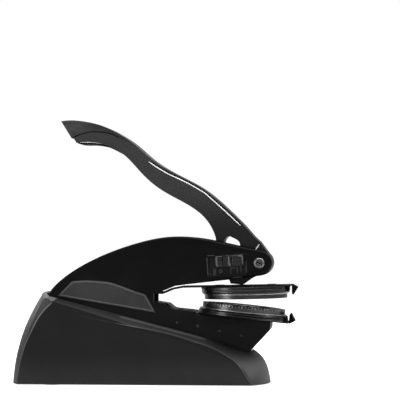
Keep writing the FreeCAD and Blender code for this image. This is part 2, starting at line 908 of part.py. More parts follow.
def make_bearing():
    pivot = point(pivot_x, pivot_z)
    outside = press_half_width
    sleeve = cross_rod(pivot, sleeve_radius, -outside, outside)
    sleeve = sleeve.cut(cross_rod(pivot, pivot_shank_radius + hole_fit, -overrun, overrun))
    export(sleeve, "pivot_sleeve")
    tip = outside - cheek_wall
    head = cross_rod(pivot, pivot_head_radius, -outside - pivot_head_height, -outside)
    shank = cross_rod(pivot, pivot_shank_radius, -outside, tip - hole_fit)
    slot = plate(
        [
            pivot + point(-pivot_head_radius, -slot_width / 2),
            pivot + point(pivot_head_radius, -slot_width / 2),
            pivot + point(pivot_head_radius, slot_width / 2),
            pivot + point(-pivot_head_radius, slot_width / 2),
        ],
        -outside - pivot_head_height - overrun,
        -outside - pivot_head_height + slot_depth,
    )
    slot.rotate(pivot, point(0, 0, 1), 35)
    export(joined([head, shank]).cut(slot), "pivot_screw")
    nut_head = cross_rod(pivot, pivot_head_radius, outside, outside + pivot_head_height)
    nut_shank = cross_rod(pivot, pivot_shank_radius, tip, outside)
    export(joined([nut_head, nut_shank]), "pivot_nut")
    washer = cross_rod(pivot, washer_radius, cheek_inside - washer_thickness, cheek_inside)
    washer = washer.cut(cross_rod(pivot, sleeve_radius + hole_fit, 0, overrun))
    export(both_sides(washer), "pivot_washers")


def arc_from(start, heading, end):
    """The arc that leaves the start along the heading and reaches the end."""
    chord = end - start
    along = chord * (1 / chord.Length)
    bulge = heading - along * heading.dot(along)
    lean = math.atan2(bulge.Length, heading.dot(along))
    middle = (start + end) * 0.5 + bulge.normalize() * (chord.Length / 2 * math.tan(lean / 2))
    return arc(start, middle, end)


def arc_pair(start, heading, end, arriving):
    """Two arcs that meet smoothly and have the given directions at both ends."""
    chord = end - start
    both = heading + arriving
    spread = 2 * (1 - heading.dot(arriving))
    reach = (math.sqrt(chord.dot(both) ** 2 + spread * chord.dot(chord)) - chord.dot(both)) / spread
    meeting = (start + end + (heading - arriving) * reach) * 0.5
    passing = (end - arriving * reach - start - heading * reach).normalize()
    return [arc_from(start, heading, meeting), arc_from(meeting, passing, end)]


def helix_tube(x, low, high, radius, wire_radius, turns):
    """A round wire wound about the vertical line at x."""
    pitch = (high - low - wire_radius * 2) / turns

    def place(half_turns):
        turn = math.pi * half_turns
        height = low + wire_radius + pitch * half_turns / 2
        return point(x + radius * math.cos(turn), height, radius * math.sin(turn))

    def heading(half_turns):
        turn = math.pi * half_turns
        return point(-radius * math.sin(turn), pitch / math.tau, radius * math.cos(turn)).normalize()

    edges = []
    for step in range(turns * 2):
        edges += arc_pair(place(step), heading(step), place(step + 1), heading(step + 1))
    ring = Part.Wire([Part.makeCircle(wire_radius, place(0), heading(0))])
    return Part.Wire(edges).makePipeShell([ring], True, False)


def make_return_spring():
    x = near_pivot(spring_place_share).x
    bay_floor = on_press(lever_bay_shares[3]).z
    leg_low = near_pivot(leg_shares[0]).z
    spring_low = bay_floor + cup_wall + spring_end_gap
    spring = helix_tube(x, spring_low, leg_low - spring_end_gap, spring_radius, spring_wire_radius, spring_turns)
    export(spring, "return_spring")
    cup = post(x, 0, cup_radius, bay_floor, bay_floor + cup_height)
    cup = cup.cut(post(x, 0, cup_radius - cup_wall, bay_floor + cup_wall, bay_floor + cup_height + overrun))
    guide = post(x, 0, spring_post_radius, bay_floor, bay_floor + cup_height)
    export(joined([cup, guide]), "spring_cup")


# Die set


def hook(outer, inner):
    """The solid lip at the front of a leaf, turned toward its holder; outer and inner are the leaf's faces."""
    toward = 1 if inner > outer else -1
    rim = die_reach + lower_holder_radius
    corners = [point(rim + a * hook_reach, outer + toward * b * hook_reach) for a, b in hook_shares]
    return plate(corners, -hook_half_width, hook_half_width)


def leaf(start, outer, inner):
    """A flat spring strip from its back end to its front hook, in the die frame."""
    low = min(inner, outer)
    high = max(inner, outer)
    rim = die_reach + lower_holder_radius
    body = box(start, rim, -leaf_half_width, leaf_half_width, low, high)
    front = box(rim, rim + hook_reach / 3, -hook_half_width, hook_half_width, low, high)
    return joined([body, front, hook(outer, inner)])


def rivet_spots():
    return [die_reach - rivet_spacing / 2, die_reach + rivet_spacing / 2]


def holder(radius, outer, inner, groove_low, groove_high):
    """A round holder with a groove round its rim; inner is the face that seats the die."""
    toward = 1 if inner > outer else -1
    body = disc(die_reach, 0, radius, min(outer, inner), max(outer, inner))
    edges = [edge for edge in body.Edges if edge.Closed]
    body = body.makeChamfer(holder_seat_depth / 2, edges)
    ring = disc(die_reach, 0, radius + overrun, groove_low, groove_high)
    ring = ring.cut(disc(die_reach, 0, radius - holder_seat_depth, groove_low, groove_high))
    seat_low = min(inner - toward * holder_seat_depth, inner)
    seat_high = max(inner - toward * holder_seat_depth, inner)
    seat = disc(die_reach, 0, die_radius + hole_fit, seat_low, seat_high)
    return body.cut([ring, seat])


def star_outline(outer, inner, count):
    corners = []
    for index in range(count * 2):
        radius = outer if index % 2 == 0 else inner
        turn = math.pi * index / count
        corners.append((die_reach + radius * math.cos(turn), radius * math.sin(turn)))
    return corners


def relief(low, high, grow):
    """Raised motifs of the die: a rim ring, a ring of beads, an inner ring and a plain star."""
    motifs = []
    for outer_share, inner_share in relief_ring_shares:
        ring = disc(die_reach, 0, die_radius * outer_share + grow, low, high)
        motifs.append(ring.cut(disc(die_reach, 0, die_radius * inner_share - grow, low, high)))
    bead_count = 24
    bead_circle = die_radius * bead_circle_share
    bead_radius = die_radius * bead_share
    for index in range(bead_count):
        turn = math.tau * index / bead_count
        x = die_reach + bead_circle * math.cos(turn)
        motifs.append(disc(x, bead_circle * math.sin(turn), bead_radius + grow, low, high))
    outline = star_outline(die_radius * star_shares[0] + grow, die_radius * star_shares[1] + grow, 8)
    corners = [point(x, low, y) for x, y in outline]
    star = Part.Face(Part.Wire(chain(corners + corners[:1]))).extrude(point(0, high - low))
    motifs.append(star)
    return motifs


def make_upper_jaw():
    half = leaf_thickness / 2
    strip = leaf(0, half, -half)
    strip = joined([strip, cross_rod(point(0, 0), half, -leaf_half_width, leaf_half_width)])
    face_low = -half - upper_holder_thickness
    groove = (face_low + upper_holder_thickness * share for share in holder_groove_shares)
    body = holder(upper_holder_radius, -half, face_low, *groove)
    die_top = face_low + holder_seat_depth
    die = disc(die_reach, 0, die_radius, face_low - upper_die_thickness, die_top)
    face = face_low - upper_die_thickness
    die = die.cut(relief(face, face + recess_depth, relief_fit))
    rivets = []
    for spot in rivet_spots():
        hole = disc(spot, 0, rivet_radius + hole_fit, -half - upper_holder_thickness / 2, half)
        strip = strip.cut(hole)
        body = body.cut(hole)
        shank = disc(spot, 0, rivet_radius, -half - upper_holder_thickness / 2 + hole_fit, half + hole_fit)
        head = disc(spot, 0, rivet_head_radius, half, half + rivet_head_height)
        rivets.append(joined([shank, head]))
    export(to_upper(strip), "upper_leaf")
    export(to_upper(body), "upper_holder")
    export(to_upper(die), "upper_die")
    export([to_upper(each) for each in rivets], "upper_rivets")


def make_lower_jaw():
    deck = -deck_drop
    leaf_top = deck + leaf_thickness
    strip = leaf(leaf_back_share * die_reach, deck, leaf_top)
    seat = leaf_top + lower_holder_thickness
    groove = (leaf_top + lower_holder_thickness * share for share in holder_groove_shares)
    body = holder(lower_holder_radius, leaf_top, seat, *groove)
    plain_top = seat + lower_die_thickness
    die = disc(die_reach, 0, die_radius, seat - holder_seat_depth, plain_top)
    die = joined([die] + relief(plain_top - hole_fit, plain_top + relief_height, 0))
    rivets = []
    for spot in rivet_spots():
        hole = disc(spot, 0, rivet_radius + hole_fit, deck, leaf_top + lower_holder_thickness / 2)
        strip = strip.cut(hole)
        body = body.cut(hole)
        rivets.append(disc(spot, 0, rivet_radius, deck, leaf_top + lower_holder_thickness / 2 - hole_fit))
    clip, clip_rivets, holes = make_clip(deck, leaf_top)
    strip = strip.cut(holes)
    export(to_lower(strip), "lower_leaf")
    export(to_lower(body), "lower_holder")
    export(to_lower(die), "lower_die")
    export([to_lower(each) for each in rivets], "lower_rivets")
    export(to_lower(clip), "die_clip")
    export([to_lower(each) for each in clip_rivets], "clip_rivets")


def make_clip(deck, leaf_top):
    """The U-shaped spring behind the dies, in the die frame."""
    level = leaf_top + clip_thickness / 2
    low = [point(a * die_reach, level + b * die_reach) for a, b in clip_low_shares]
    high = [point(a * die_reach, b * die_reach) for a, b in clip_high_shares]
    bend_radius = (high[0].z - low[-1].z) / 2
    centre = point(low[-1].x, low[-1].z + bend_radius)
    outer = bend_radius + clip_thickness / 2
    inner = bend_radius - clip_thickness / 2
    bend = slab(
        [
            arc(centre + point(0, -outer), centre + point(-outer, 0), centre + point(0, outer)),
            line(centre + point(0, outer), centre + point(0, inner)),
            arc(centre + point(0, inner), centre + point(-inner, 0), centre + point(0, -inner)),
            line(centre + point(0, -inner), centre + point(0, -outer)),
        ],
        -clip_half_width,
        clip_half_width,
    )
    arms = [bent_strip(points, clip_thickness, clip_half_width) for points in (low, high)]
    clip = joined([bend] + arms)
    rivets = []
    holes = []
    for share in clip_rivet_shares:
        spot = share * die_reach
        top = leaf_top + clip_thickness
        hole = disc(spot, 0, rivet_radius + hole_fit, deck - hole_fit, top + hole_fit)
        clip = clip.cut(hole)
        holes.append(hole)
        shank = disc(spot, 0, rivet_radius, deck, top + hole_fit)
        head = disc(spot, 0, rivet_head_radius, top, top + rivet_head_height)
        rivets.append(joined([shank, head]))
    return clip, rivets, holes


# Handle lock


def make_lock():
    outer_face = -press_half_width
    inner_face = outer_face + bezel_thickness
    half_length = lock_length / 2
    half_height = lock_height / 2
    bezel = lock_block(-half_length, half_length, -half_height, half_height, outer_face, inner_face)
    recess = lock_block(
        -half_length + lock_rim, half_length - lock_rim, -half_height + lock_rim, half_height - lock_rim,
        outer_face - overrun, outer_face + bezel_recess,
    )
    bezel = bezel.cut([recess, lock_slot_block(outer_face - overrun, 0)])
    export(bezel, "lock_bezel")
    left = -knob_back
    right = left + knob_length
    low = -knob_low
    high = low + knob_height
    back = outer_face + bezel_recess - hole_fit * 2
    front = outer_face - knob_proud
    middle_face = outer_face - knob_proud * knob_base_share
    base = lock_block(left, right, low, high, middle_face, back)
    lobe_end, ridge_start, ridge_end, pad_start = [left + knob_length * share for share in knob_split_shares]
    pad_front = front + knob_proud * pad_drop_share
    lobe = lock_block(left, lobe_end, low, high, front, back)
    pad = lock_block(pad_start, right, low + knob_height * pad_foot_share, high, pad_front, back)
    ridge = lock_block(ridge_start, ridge_end, low, high, front, back)
    lobe = lobe.makeFillet(knob_proud * lobe_round_share, [e for e in lobe.Edges if on_face(e, front)])
    pad = pad.makeFillet(knob_proud * pad_round_share, [e for e in pad.Edges if on_face(e, pad_front)])
    knob = joined([base, lobe, pad, ridge])
    pin = lock_point(lock_pin_forward, lock_pin_lift)
    socket = outer_face + bezel_recess / 2 - knob_proud / 2
    knob = knob.cut(cross_rod(pin, lock_pin_radius + hole_fit, socket, 0))
    export(knob, "lock_slider")
    export(cross_rod(pin, lock_pin_radius, socket + hole_fit, -lock_pin_tip), "lock_pin")
    washer_high = -cheek_inside + hole_fit + lock_washer_thickness
    washer = cross_rod(pin, lock_washer_radius, -cheek_inside + hole_fit, washer_high)
    washer = washer.cut(cross_rod(pin, lock_pin_radius, -overrun, 0))
    export(washer, "lock_washer")


def on_face(edge, level):
    """Whether an edge lies in the plane y = level."""
    return all(abs(vertex.Y - level) < hole_fit for vertex in edge.Vertexes)


os.makedirs("parts", exist_ok=True)
make_cradle()
make_press_screws()
make_press()
make_lever()
make_bearing()
make_return_spring()
make_upper_jaw()
make_lower_jaw()
make_lock()
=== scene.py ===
import json
import math

import bmesh
import bpy
from mathutils import Matrix, Vector
from mathutils.bvhtree import BVHTree

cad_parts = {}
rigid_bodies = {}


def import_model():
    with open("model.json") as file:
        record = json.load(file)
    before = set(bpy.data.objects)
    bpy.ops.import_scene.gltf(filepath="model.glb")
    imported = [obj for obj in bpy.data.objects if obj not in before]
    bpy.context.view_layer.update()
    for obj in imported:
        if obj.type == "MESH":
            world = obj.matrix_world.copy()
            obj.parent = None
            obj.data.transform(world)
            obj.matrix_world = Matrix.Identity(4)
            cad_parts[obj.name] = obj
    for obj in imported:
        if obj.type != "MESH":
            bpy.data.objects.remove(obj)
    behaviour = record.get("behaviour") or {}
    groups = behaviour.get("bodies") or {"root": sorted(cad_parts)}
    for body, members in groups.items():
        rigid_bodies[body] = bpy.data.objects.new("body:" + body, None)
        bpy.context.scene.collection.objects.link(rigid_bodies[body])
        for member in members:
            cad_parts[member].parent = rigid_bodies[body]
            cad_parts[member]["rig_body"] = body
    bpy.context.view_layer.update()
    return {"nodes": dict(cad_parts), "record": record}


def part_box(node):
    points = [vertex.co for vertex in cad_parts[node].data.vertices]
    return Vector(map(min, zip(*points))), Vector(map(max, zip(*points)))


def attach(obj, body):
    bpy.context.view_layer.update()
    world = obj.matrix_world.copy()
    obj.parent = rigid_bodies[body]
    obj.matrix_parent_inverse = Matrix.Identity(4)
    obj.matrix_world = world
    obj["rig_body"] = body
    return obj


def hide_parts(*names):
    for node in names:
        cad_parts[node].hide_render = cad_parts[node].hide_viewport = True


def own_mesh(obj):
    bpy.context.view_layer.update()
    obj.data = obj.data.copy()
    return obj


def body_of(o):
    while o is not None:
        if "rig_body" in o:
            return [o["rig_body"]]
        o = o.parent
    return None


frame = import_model()

MM = 0.001
NODES = frame["nodes"]
SLOT_OF = {entry["node"]: entry["material_slot"] for entry in frame["record"]["subparts"]}

# Places on the object, in millimetres from the frame's origin, as (forward, up)
PIVOT = (52.505, 59.8)
FLEX = (14.705, 47.9)
UPPER_TILT = -1.1
LOWER_TILT = 5.7
DIE_REACH = 30.4
HALF_WIDTH = 12.2

# The die set, in millimetres up from the bend of the upper leaf
UPPER_LEAF_UNDER = -0.4
UPPER_HOLDER_UNDER = -4.0
UPPER_DIE_FACE = -6.3
LOWER_LEAF_TOP = -12.0
LOWER_HOLDER_TOP = -9.0
LOWER_DIE_FACE = -6.6
UPPER_HOLDER_RADIUS = 22.2
LOWER_HOLDER_RADIUS = 22.8
DIE_RADIUS = 20.6
SEAT_DEPTH = 0.5
HOOK_LENGTH = 3.0

# The middle of the lock window, in millimetres back from and below the pivot, and its lean in degrees
LOCK_BACK = 16.1
LOCK_DROP = 0.9
LOCK_LEAN = 4.0

# Lines on the handle, the cradle, the body and the nameplate, in millimetres
TOP_LINE = ((-2.4, 110.0), (1.6, 107.2), (5.6, 104.8), (9.3, 102.9), (13.0, 101.2), (18.0, 98.7), (24.2, 95.1),
            (26.0, 93.8), (29.2, 91.0), (33.9, 86.8), (38.8, 82.3), (43.0, 78.3))
GRIP_LOW = ((-37.9, 119.15), (-35.5, 118.85), (-30.5, 118.8), (-26.5, 118.25), (-22.5, 117.2), (-18.5, 115.4),
            (-15.0, 113.5))
CAP_SEAM = ((-43.0, 120.85), (-40.96, 121.68), (-39.48, 122.39), (-34.45, 124.23), (-29.41, 124.87),
            (-21.52, 123.87), (-16.5, 121.4))
KNUCKLE_SEAM = ((50.3, 66.0), (52.3, 69.1))
CREASE = ((-36.0, 34.3), (-30.5, 33.0), (-19.4, 30.6), (-5.6, 28.1), (2.3, 26.6),
          (10.6, 24.7), (20.5, 21.6), (29.0, 18.9), (36.7, 15.0), (42.3, 11.0), (45.7, 6.5), (48.3, 2.2))
SHOULDER_EDGE = ((-16.6, 34.0), (-10.7, 32.6), (-3.2, 31.0), (4.2, 29.3), (11.6, 27.5), (19.0, 25.6), (26.4, 23.5))
BACK_LINE = ((-49.6, 40.3), (-52.9, 37.2), (-56.2, 32.8), (-59.4, 26.5), (-61.9, 20.9), (-63.8, 14.6), (-65.0, 9.0),
             (-65.7, 1.6))
FOOT_LINE = ((38.9, 52.5), (41.5, 52.75), (44.2, 52.9))
PLATE_CORNERS = ((-47.6, 43.4), (-40.4, 50.7), (-33.1, 51.15), (-28.3, 50.9), (-21.5, 50.2), (-16.4, 48.6),
                 (-10.8, 46.5), (-3.8, 44.2), (1.35, 35.2))

# The crease carries a painted highlight only ahead of this place
CREASE_HIGHLIGHT_START = -18.0

# The back of the cradle has a lighter tone, painted light, behind this curve: forward as a cubic of the height, highest
# power first
BACK_CURVE = (0.000171, 0.00039, 0.1068, -65.948)

# The skin below the crease: how far down it reaches in its middle, and how deep it goes into the wall
SKIN_REACH = 6.0
SKIN_DEPTH = 1.6

# The heights at which the slope of the cradle's side wall is measured
WALL_HEIGHTS = (8.0, 18.0)

# How far from a guessed line its surface's upper edge is looked for, and in what steps
EDGE_SEARCH = 2.0
EDGE_SEARCH_BELOW = 4.0
EDGE_STEP = 0.05

# The section of a raised line, as (share of its width, share of its height), how deep it is sunk into the
# surface, and how narrow it starts and by how much it widens from point to point
BEAD_SECTION = (
    (-0.5, -0.5), (-0.5, 0.0), (-0.38, 0.62), (-0.14, 0.96), (0.14, 0.96), (0.38, 0.62), (0.5, 0.0), (0.5, -0.5),
)
BEAD_SINK = 0.15
BEAD_TIP = 0.35
BEAD_TAPER = 0.22

# Faces of a box whose corners are its lower ring, then its upper ring
BOX_FACES = ((3, 2, 1, 0), (4, 5, 6, 7), (0, 1, 5, 4), (1, 2, 6, 5), (2, 3, 7, 6), (3, 0, 4, 7))

# Edges sharper than this many degrees are softened, in this many steps
SOFT_ANGLE = 32
SOFT_STEPS = 3


# Mesh helpers


def new_object(name, mesh):
    """An object with this mesh, linked to the scene."""
    made = bpy.data.objects.new(name, mesh)
    bpy.context.scene.collection.objects.link(made)
    return made


def mesh_object(name, verts, faces, angle):
    """A piece from points and faces, shaded smooth but for edges sharper than this angle."""
    mesh = bpy.data.meshes.new(name)
    mesh.from_pydata([tuple(v) for v in verts], [], faces)
    form = bmesh.new()
    form.from_mesh(mesh)
    bmesh.ops.recalc_face_normals(form, faces=form.faces)
    form.to_mesh(mesh)
    form.free()
    mesh.shade_smooth()
    mesh.set_sharp_from_angle(angle=math.radians(angle))
    return new_object(name, mesh)


def finished(piece, body, slot_name, *nodes, finish=None):
    """Give a piece its body and a finish, that of its slot unless another is named, and hide the CAD nodes that it
    stands for.
    """
    piece.data.materials.clear()
    piece.data.materials.append(FINISH[finish or slot_name])
    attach(piece, body)
    if nodes:
        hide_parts(*nodes)
    return piece


def softened(node, width):
    """A copy of a CAD node whose sharp edges are broken by a small round."""
    mesh = NODES[node].data.copy()
    form = bmesh.new()
    form.from_mesh(mesh)
    bmesh.ops.remove_doubles(form, verts=form.verts, dist=0.002 * MM)
    bmesh.ops.dissolve_limit(form, angle_limit=math.radians(0.6), verts=form.verts, edges=form.edges)
    form.to_mesh(mesh)
    form.free()
    mesh.shade_smooth()
    mesh.set_sharp_from_angle(angle=math.radians(SOFT_ANGLE))
    piece = new_object("soft_" + node, mesh)
    round_off = piece.modifiers.new("edge_round", "BEVEL")
    round_off.width = width * MM
    round_off.segments = SOFT_STEPS
    round_off.limit_method = "ANGLE"
    round_off.angle_limit = math.radians(SOFT_ANGLE)
    round_off.miter_outer = "MITER_ARC"
    round_off.harden_normals = True
    return finished(piece, body_of(NODES[node])[0], SLOT_OF[node], node)


def surface_of(*nodes, more=()):
    """A ray-cast tree of these CAD nodes, and of more pieces."""
    verts = []
    faces = []
    for mesh in [NODES[node].data for node in nodes] + [piece.data for piece in more]:
        start = len(verts)
        verts.extend(v.co.copy() for v in mesh.vertices)
        faces.extend([start + i for i in face.vertices] for face in mesh.polygons)
    return BVHTree.FromPolygons(verts, faces)


def on_side(tree, x, z, side):
    """Where a line from the side first meets the tree, or None."""
    start = Vector((x * MM, side * 0.1, z * MM))
    hit = tree.ray_cast(start, Vector((0, -side, 0)))
    return hit[0]


def smooth_path(points, per_span=6):
    """A Catmull-Rom line through the points."""
    last = len(points) - 1
    path = []
    for i in range(last):
        a, b, c, d = (Vector(points[min(max(i + k, 0), last)]) for k in (-1, 0, 1, 2))
        for step in range(per_span):
            t = step / per_span
            path.append(
                0.5 * ((2 * b) + (c - a) * t + (2 * a - 5 * b + 4 * c - d) * t * t + (3 * b - a - 3 * c + d) * t ** 3)
            )
    path.append(Vector(points[-1]))
    return path


def offset_path(points, distance):
    """The path moved sideways by this distance, to its left as it runs."""
    moved = []
    last = len(points) - 1
    for i, spot in enumerate(points):
        before = Vector(points[max(i - 1, 0)])
        after = Vector(points[min(i + 1, last)])
        along = (after - before).normalized()
        moved.append(Vector(spot) + Vector((-along.y, along.x)) * distance)
    return moved


def inset(points, distance):
    """A closed outline moved inward; its points run clockwise."""
    count = len(points)
    moved = []
    for i in range(count):
        here = Vector(points[i])
        first = (here - Vector(points[i - 1])).normalized()
        second = (Vector(points[(i + 1) % count]) - here).normalized()
        normal = Vector((first.y + second.y, -first.x - second.x))
        normal = normal * (2 / normal.length_squared)
        moved.append(here + normal * distance)
    return moved


def over_surface(path, tree, side, margin):
    """The stretch of the path that lies over the tree with this margin on each side."""
    kept = []
    for spot in path:
        spots = [(spot.x + dx, spot.y + dz) for dx, dz in ((-margin, 0), (margin, 0), (0, -margin), (0, margin))]
        if all(on_side(tree, x, z, side) for x, z in spots):
            kept.append(spot)
    return kept


def under_edge(path, tree, side, depth):
    """The path at this depth below the upper edge of the surface."""
    found = []
    for spot in path:
        z = spot.y + EDGE_SEARCH
        while z > spot.y - EDGE_SEARCH_BELOW:
            hit = on_side(tree, spot.x, z, side)
            if hit and abs(hit.y) > HALF_WIDTH * MM:
                break
            z -= EDGE_STEP
        found.append(Vector((spot.x, z - depth)))
    return found


def first_depth(path, tree, side):
    """The depth of the first point of the path that lies over the tree."""
    for spot in path:
        hit = on_side(tree, spot.x, spot.y, side)
        if hit:
            return hit.y
    return 0.0


def loft_faces(count, size, closed=False):
    """Faces that join this many rings of points, each of this size, with end caps unless it closes on itself."""
    faces = []
    for i in range(count if closed else count - 1):
        here = i * size
        onward = ((i + 1) % count) * size
        for k in range(size):
            after = (k + 1) % size
            faces.append((here + k, here + after, onward + after, onward + k))
    if not closed:
        faces.append(tuple(range(size)))
        faces.append(tuple(range((count - 1) * size, count * size)))
    return faces


def ribbon(name, path, width, height, tree, side, closed=False):
    """A raised line of this width and height that lies along the path on a side face of the object."""
    verts = []
    count = len(path)
    last_y = first_depth(path, tree, side)
    for i, here in enumerate(path):
        before = path[i - 1] if (closed or i) else here
        after = path[(i + 1) % count] if (closed or i < count - 1) else here
        along = (after - before).normalized()
        across = Vector((-along.y, along.x))
        share_here = 1.0 if closed else min(1.0, BEAD_TIP + min(i, count - 1 - i) * BEAD_TAPER)
        for share, lift in BEAD_SECTION:
            spot = here + across * share * width * share_here
            hit = on_side(tree, spot.x, spot.y, side)
            last_y = hit.y if hit else last_y
            rise = lift * height if lift >= 0 else -BEAD_SINK
            verts.append((spot.x * MM, last_y + side * rise * MM, spot.y * MM))
    return mesh_object(name, verts, loft_faces(count, len(BEAD_SECTION), closed), 60)


def turned(name, profile, place, segments=128):
    """A solid of revolution from (radius, up) points in millimetres; place puts it on the object."""
    verts = []
    faces = []
    rows = []
    for radius, up in profile:
        if radius == 0:
            rows.append([len(verts)])
            verts.append(place @ Vector((0, 0, up * MM)))
            continue
        row = []
        for k in range(segments):
            turn = 2 * math.pi * k / segments
            row.append(len(verts))
            verts.append(place @ Vector((radius * MM * math.cos(turn), radius * MM * math.sin(turn), up * MM)))
        rows.append(row)
    pairs = list(zip(rows, rows[1:]))
    if len(rows[0]) > 1:
        pairs.append((rows[-1], rows[0]))
    for low, high in pairs:
        for k in range(segments):
            a = low[k % len(low)]
            b = low[(k + 1) % len(low)]
            c = high[(k + 1) % len(high)]
            d = high[k % len(high)]
            corners = list(dict.fromkeys((a, b, c, d)))
            if len(corners) > 2:
                faces.append(corners)
    return mesh_object(name, verts, faces, 30)


def die_frame(tilt):
    """The frame of a die: origin at the bend of the upper leaf's strip, up along the die's axis."""
    turn = Matrix.Rotation(math.radians(tilt), 4, "Y")
    return Matrix.Translation((FLEX[0] * MM, 0, FLEX[1] * MM)) @ turn @ Matrix.Translation((DIE_REACH * MM, 0, 0))


# Materials


# How much a finish's roughness varies to either side
ROUGH_TONE = 0.06


def link(tree, source, output, target, entry):
    """Join an output of one node to an entry of another."""
    tree.links.new(source.outputs[output], target.inputs[entry])


def add_node(tree, kind, **values):
    """A new node with these settings."""
    node = tree.nodes.new(kind)
    for key, value in values.items():
        setattr(node, key, value)
    return node


def placed_noise(tree, scale, stretch=(1, 1, 1), detail=4.0, turn=0.0):
    """Noise in the row frame, in cycles per metre, stretched per axis."""
    coords = add_node(tree, "ShaderNodeTexCoord")
    mapping = add_node(tree, "ShaderNodeMapping")
    mapping.inputs["Scale"].default_value = stretch
    mapping.inputs["Rotation"].default_value = (0, turn, 0)
    noise = add_node(tree, "ShaderNodeTexNoise")
    noise.inputs["Scale"].default_value = scale
    noise.inputs["Detail"].default_value = detail
    link(tree, coords, "Object", mapping, "Vector")
    link(tree, mapping, "Vector", noise, "Vector")
    return noise


def spread(tree, noise, low, high):
    """The noise, stretched to run from low to high."""
    ramp = add_node(tree, "ShaderNodeMapRange")
    ramp.inputs["From Min"].default_value = 0.3
    ramp.inputs["From Max"].default_value = 0.7
    ramp.inputs["To Min"].default_value = low
    ramp.inputs["To Max"].default_value = high
    link(tree, noise, "Fac", ramp, "Value")
    return ramp


def surface(
    name,
    colour,
    rough,
    metallic=0.0,
    specular=0.3,
    tone=0.15,
    grain=900.0,
    grain_depth=0.02,
    stretch=(1, 1, 1),
    turn=0.0,
    edge=0.0,
    edge_radius=0.4,
    painted_height_light=None,
    painted_length_light=None,
    top_light_level=1.0,
    painted_back_light=None,
):
    """A finish with uneven colour and roughness, a fine relief, and lighter edges that are partly wear and partly a
    painted edge highlight.

    tone is how much the colour varies, grain the fineness of the relief in cycles per metre and grain_depth its
    depth in millimetres. stretch and turn lay the grain along a piece. painted_height_light, painted_length_light
    and painted_back_light paint light and shade into the colour from place to place, as (start, end, tone at the
    start, tone at the end) in millimetres, and top_light_level paints light on what faces up.
    """
    material = bpy.data.materials.new(name)
    material.use_nodes = True
    tree = material.node_tree
    shader = tree.nodes["Principled BSDF"]
    shader.inputs["Metallic"].default_value = metallic
    shader.inputs["Specular IOR Level"].default_value = specular
    cloud = placed_noise(tree, 60.0, detail=5.0)
    fine = placed_noise(tree, grain, stretch, 3.0, turn)
    tone_ramp = spread(tree, cloud, 1.0 - tone, 1.0 + tone)
    fine_ramp = spread(tree, fine, 1.0 - tone * 0.6, 1.0 + tone * 0.6)
    both = add_node(tree, "ShaderNodeMath", operation="MULTIPLY")
    link(tree, tone_ramp, "Result", both, 0)
    link(tree, fine_ramp, "Result", both, 1)
    scaled = add_node(tree, "ShaderNodeVectorMath", operation="SCALE")
    scaled.inputs[0].default_value = colour
    link(tree, both, "Value", scaled, "Scale")
    source = scaled
    # Painted light and shade: the tones below stand in for how the lamps fall on the piece.
    if painted_height_light:
        source = paint_light_along(tree, source, "Z", *painted_height_light)
    if painted_length_light:
        source = paint_light_along(tree, source, "X", *painted_length_light)
    if top_light_level != 1.0:
        source = paint_top_light(tree, source, top_light_level)
    if painted_back_light:
        source = paint_back_light(tree, source, *painted_back_light)
    if edge:
        source = edge_wear_and_highlight(tree, source, edge, edge_radius)
    link(tree, source, "Vector", shader, "Base Color")
    rough_ramp = spread(tree, fine, rough - ROUGH_TONE, rough + ROUGH_TONE)
    link(tree, rough_ramp, "Result", shader, "Roughness")
    bump = add_node(tree, "ShaderNodeBump")
    bump.inputs["Distance"].default_value = grain_depth * MM
    bump.inputs["Strength"].default_value = 0.6
    link(tree, fine, "Fac", bump, "Height")
    link(tree, bump, "Normal", shader, "Normal")
    return material


def scaled_tone(tree, source, ramp):
    """The colour, made lighter or darker by this ramp."""
    changed = add_node(tree, "ShaderNodeVectorMath", operation="SCALE")
    link(tree, source, "Vector", changed, 0)
    link(tree, ramp, "Result", changed, "Scale")
    return changed


def paint_light_along(tree, source, axis, low, high, low_level, high_level):
    """Paint light and shade into the colour between two places along an axis of the frame, in millimetres."""
    coords = add_node(tree, "ShaderNodeTexCoord")
    parts = add_node(tree, "ShaderNodeSeparateXYZ")
    link(tree, coords, "Object", parts, "Vector")
    ramp = add_node(tree, "ShaderNodeMapRange", interpolation_type="SMOOTHSTEP")
    ramp.inputs["From Min"].default_value = low * MM
    ramp.inputs["From Max"].default_value = high * MM
    ramp.inputs["To Min"].default_value = low_level
    ramp.inputs["To Max"].default_value = high_level
    link(tree, parts, axis, ramp, "Value")
    return scaled_tone(tree, source, ramp)


def paint_top_light(tree, source, level):
    """Painted light: a lighter tone on the surfaces that face up."""
    geometry = add_node(tree, "ShaderNodeNewGeometry")
    parts = add_node(tree, "ShaderNodeSeparateXYZ")
    link(tree, geometry, "Normal", parts, "Vector")
    ramp = add_node(tree, "ShaderNodeMapRange", interpolation_type="SMOOTHSTEP")
    ramp.inputs["From Min"].default_value = 0.12
    ramp.inputs["From Max"].default_value = 0.6
    ramp.inputs["To Min"].default_value = 1.0
    ramp.inputs["To Max"].default_value = level
    link(tree, parts, "Z", ramp, "Value")
    return scaled_tone(tree, source, ramp)


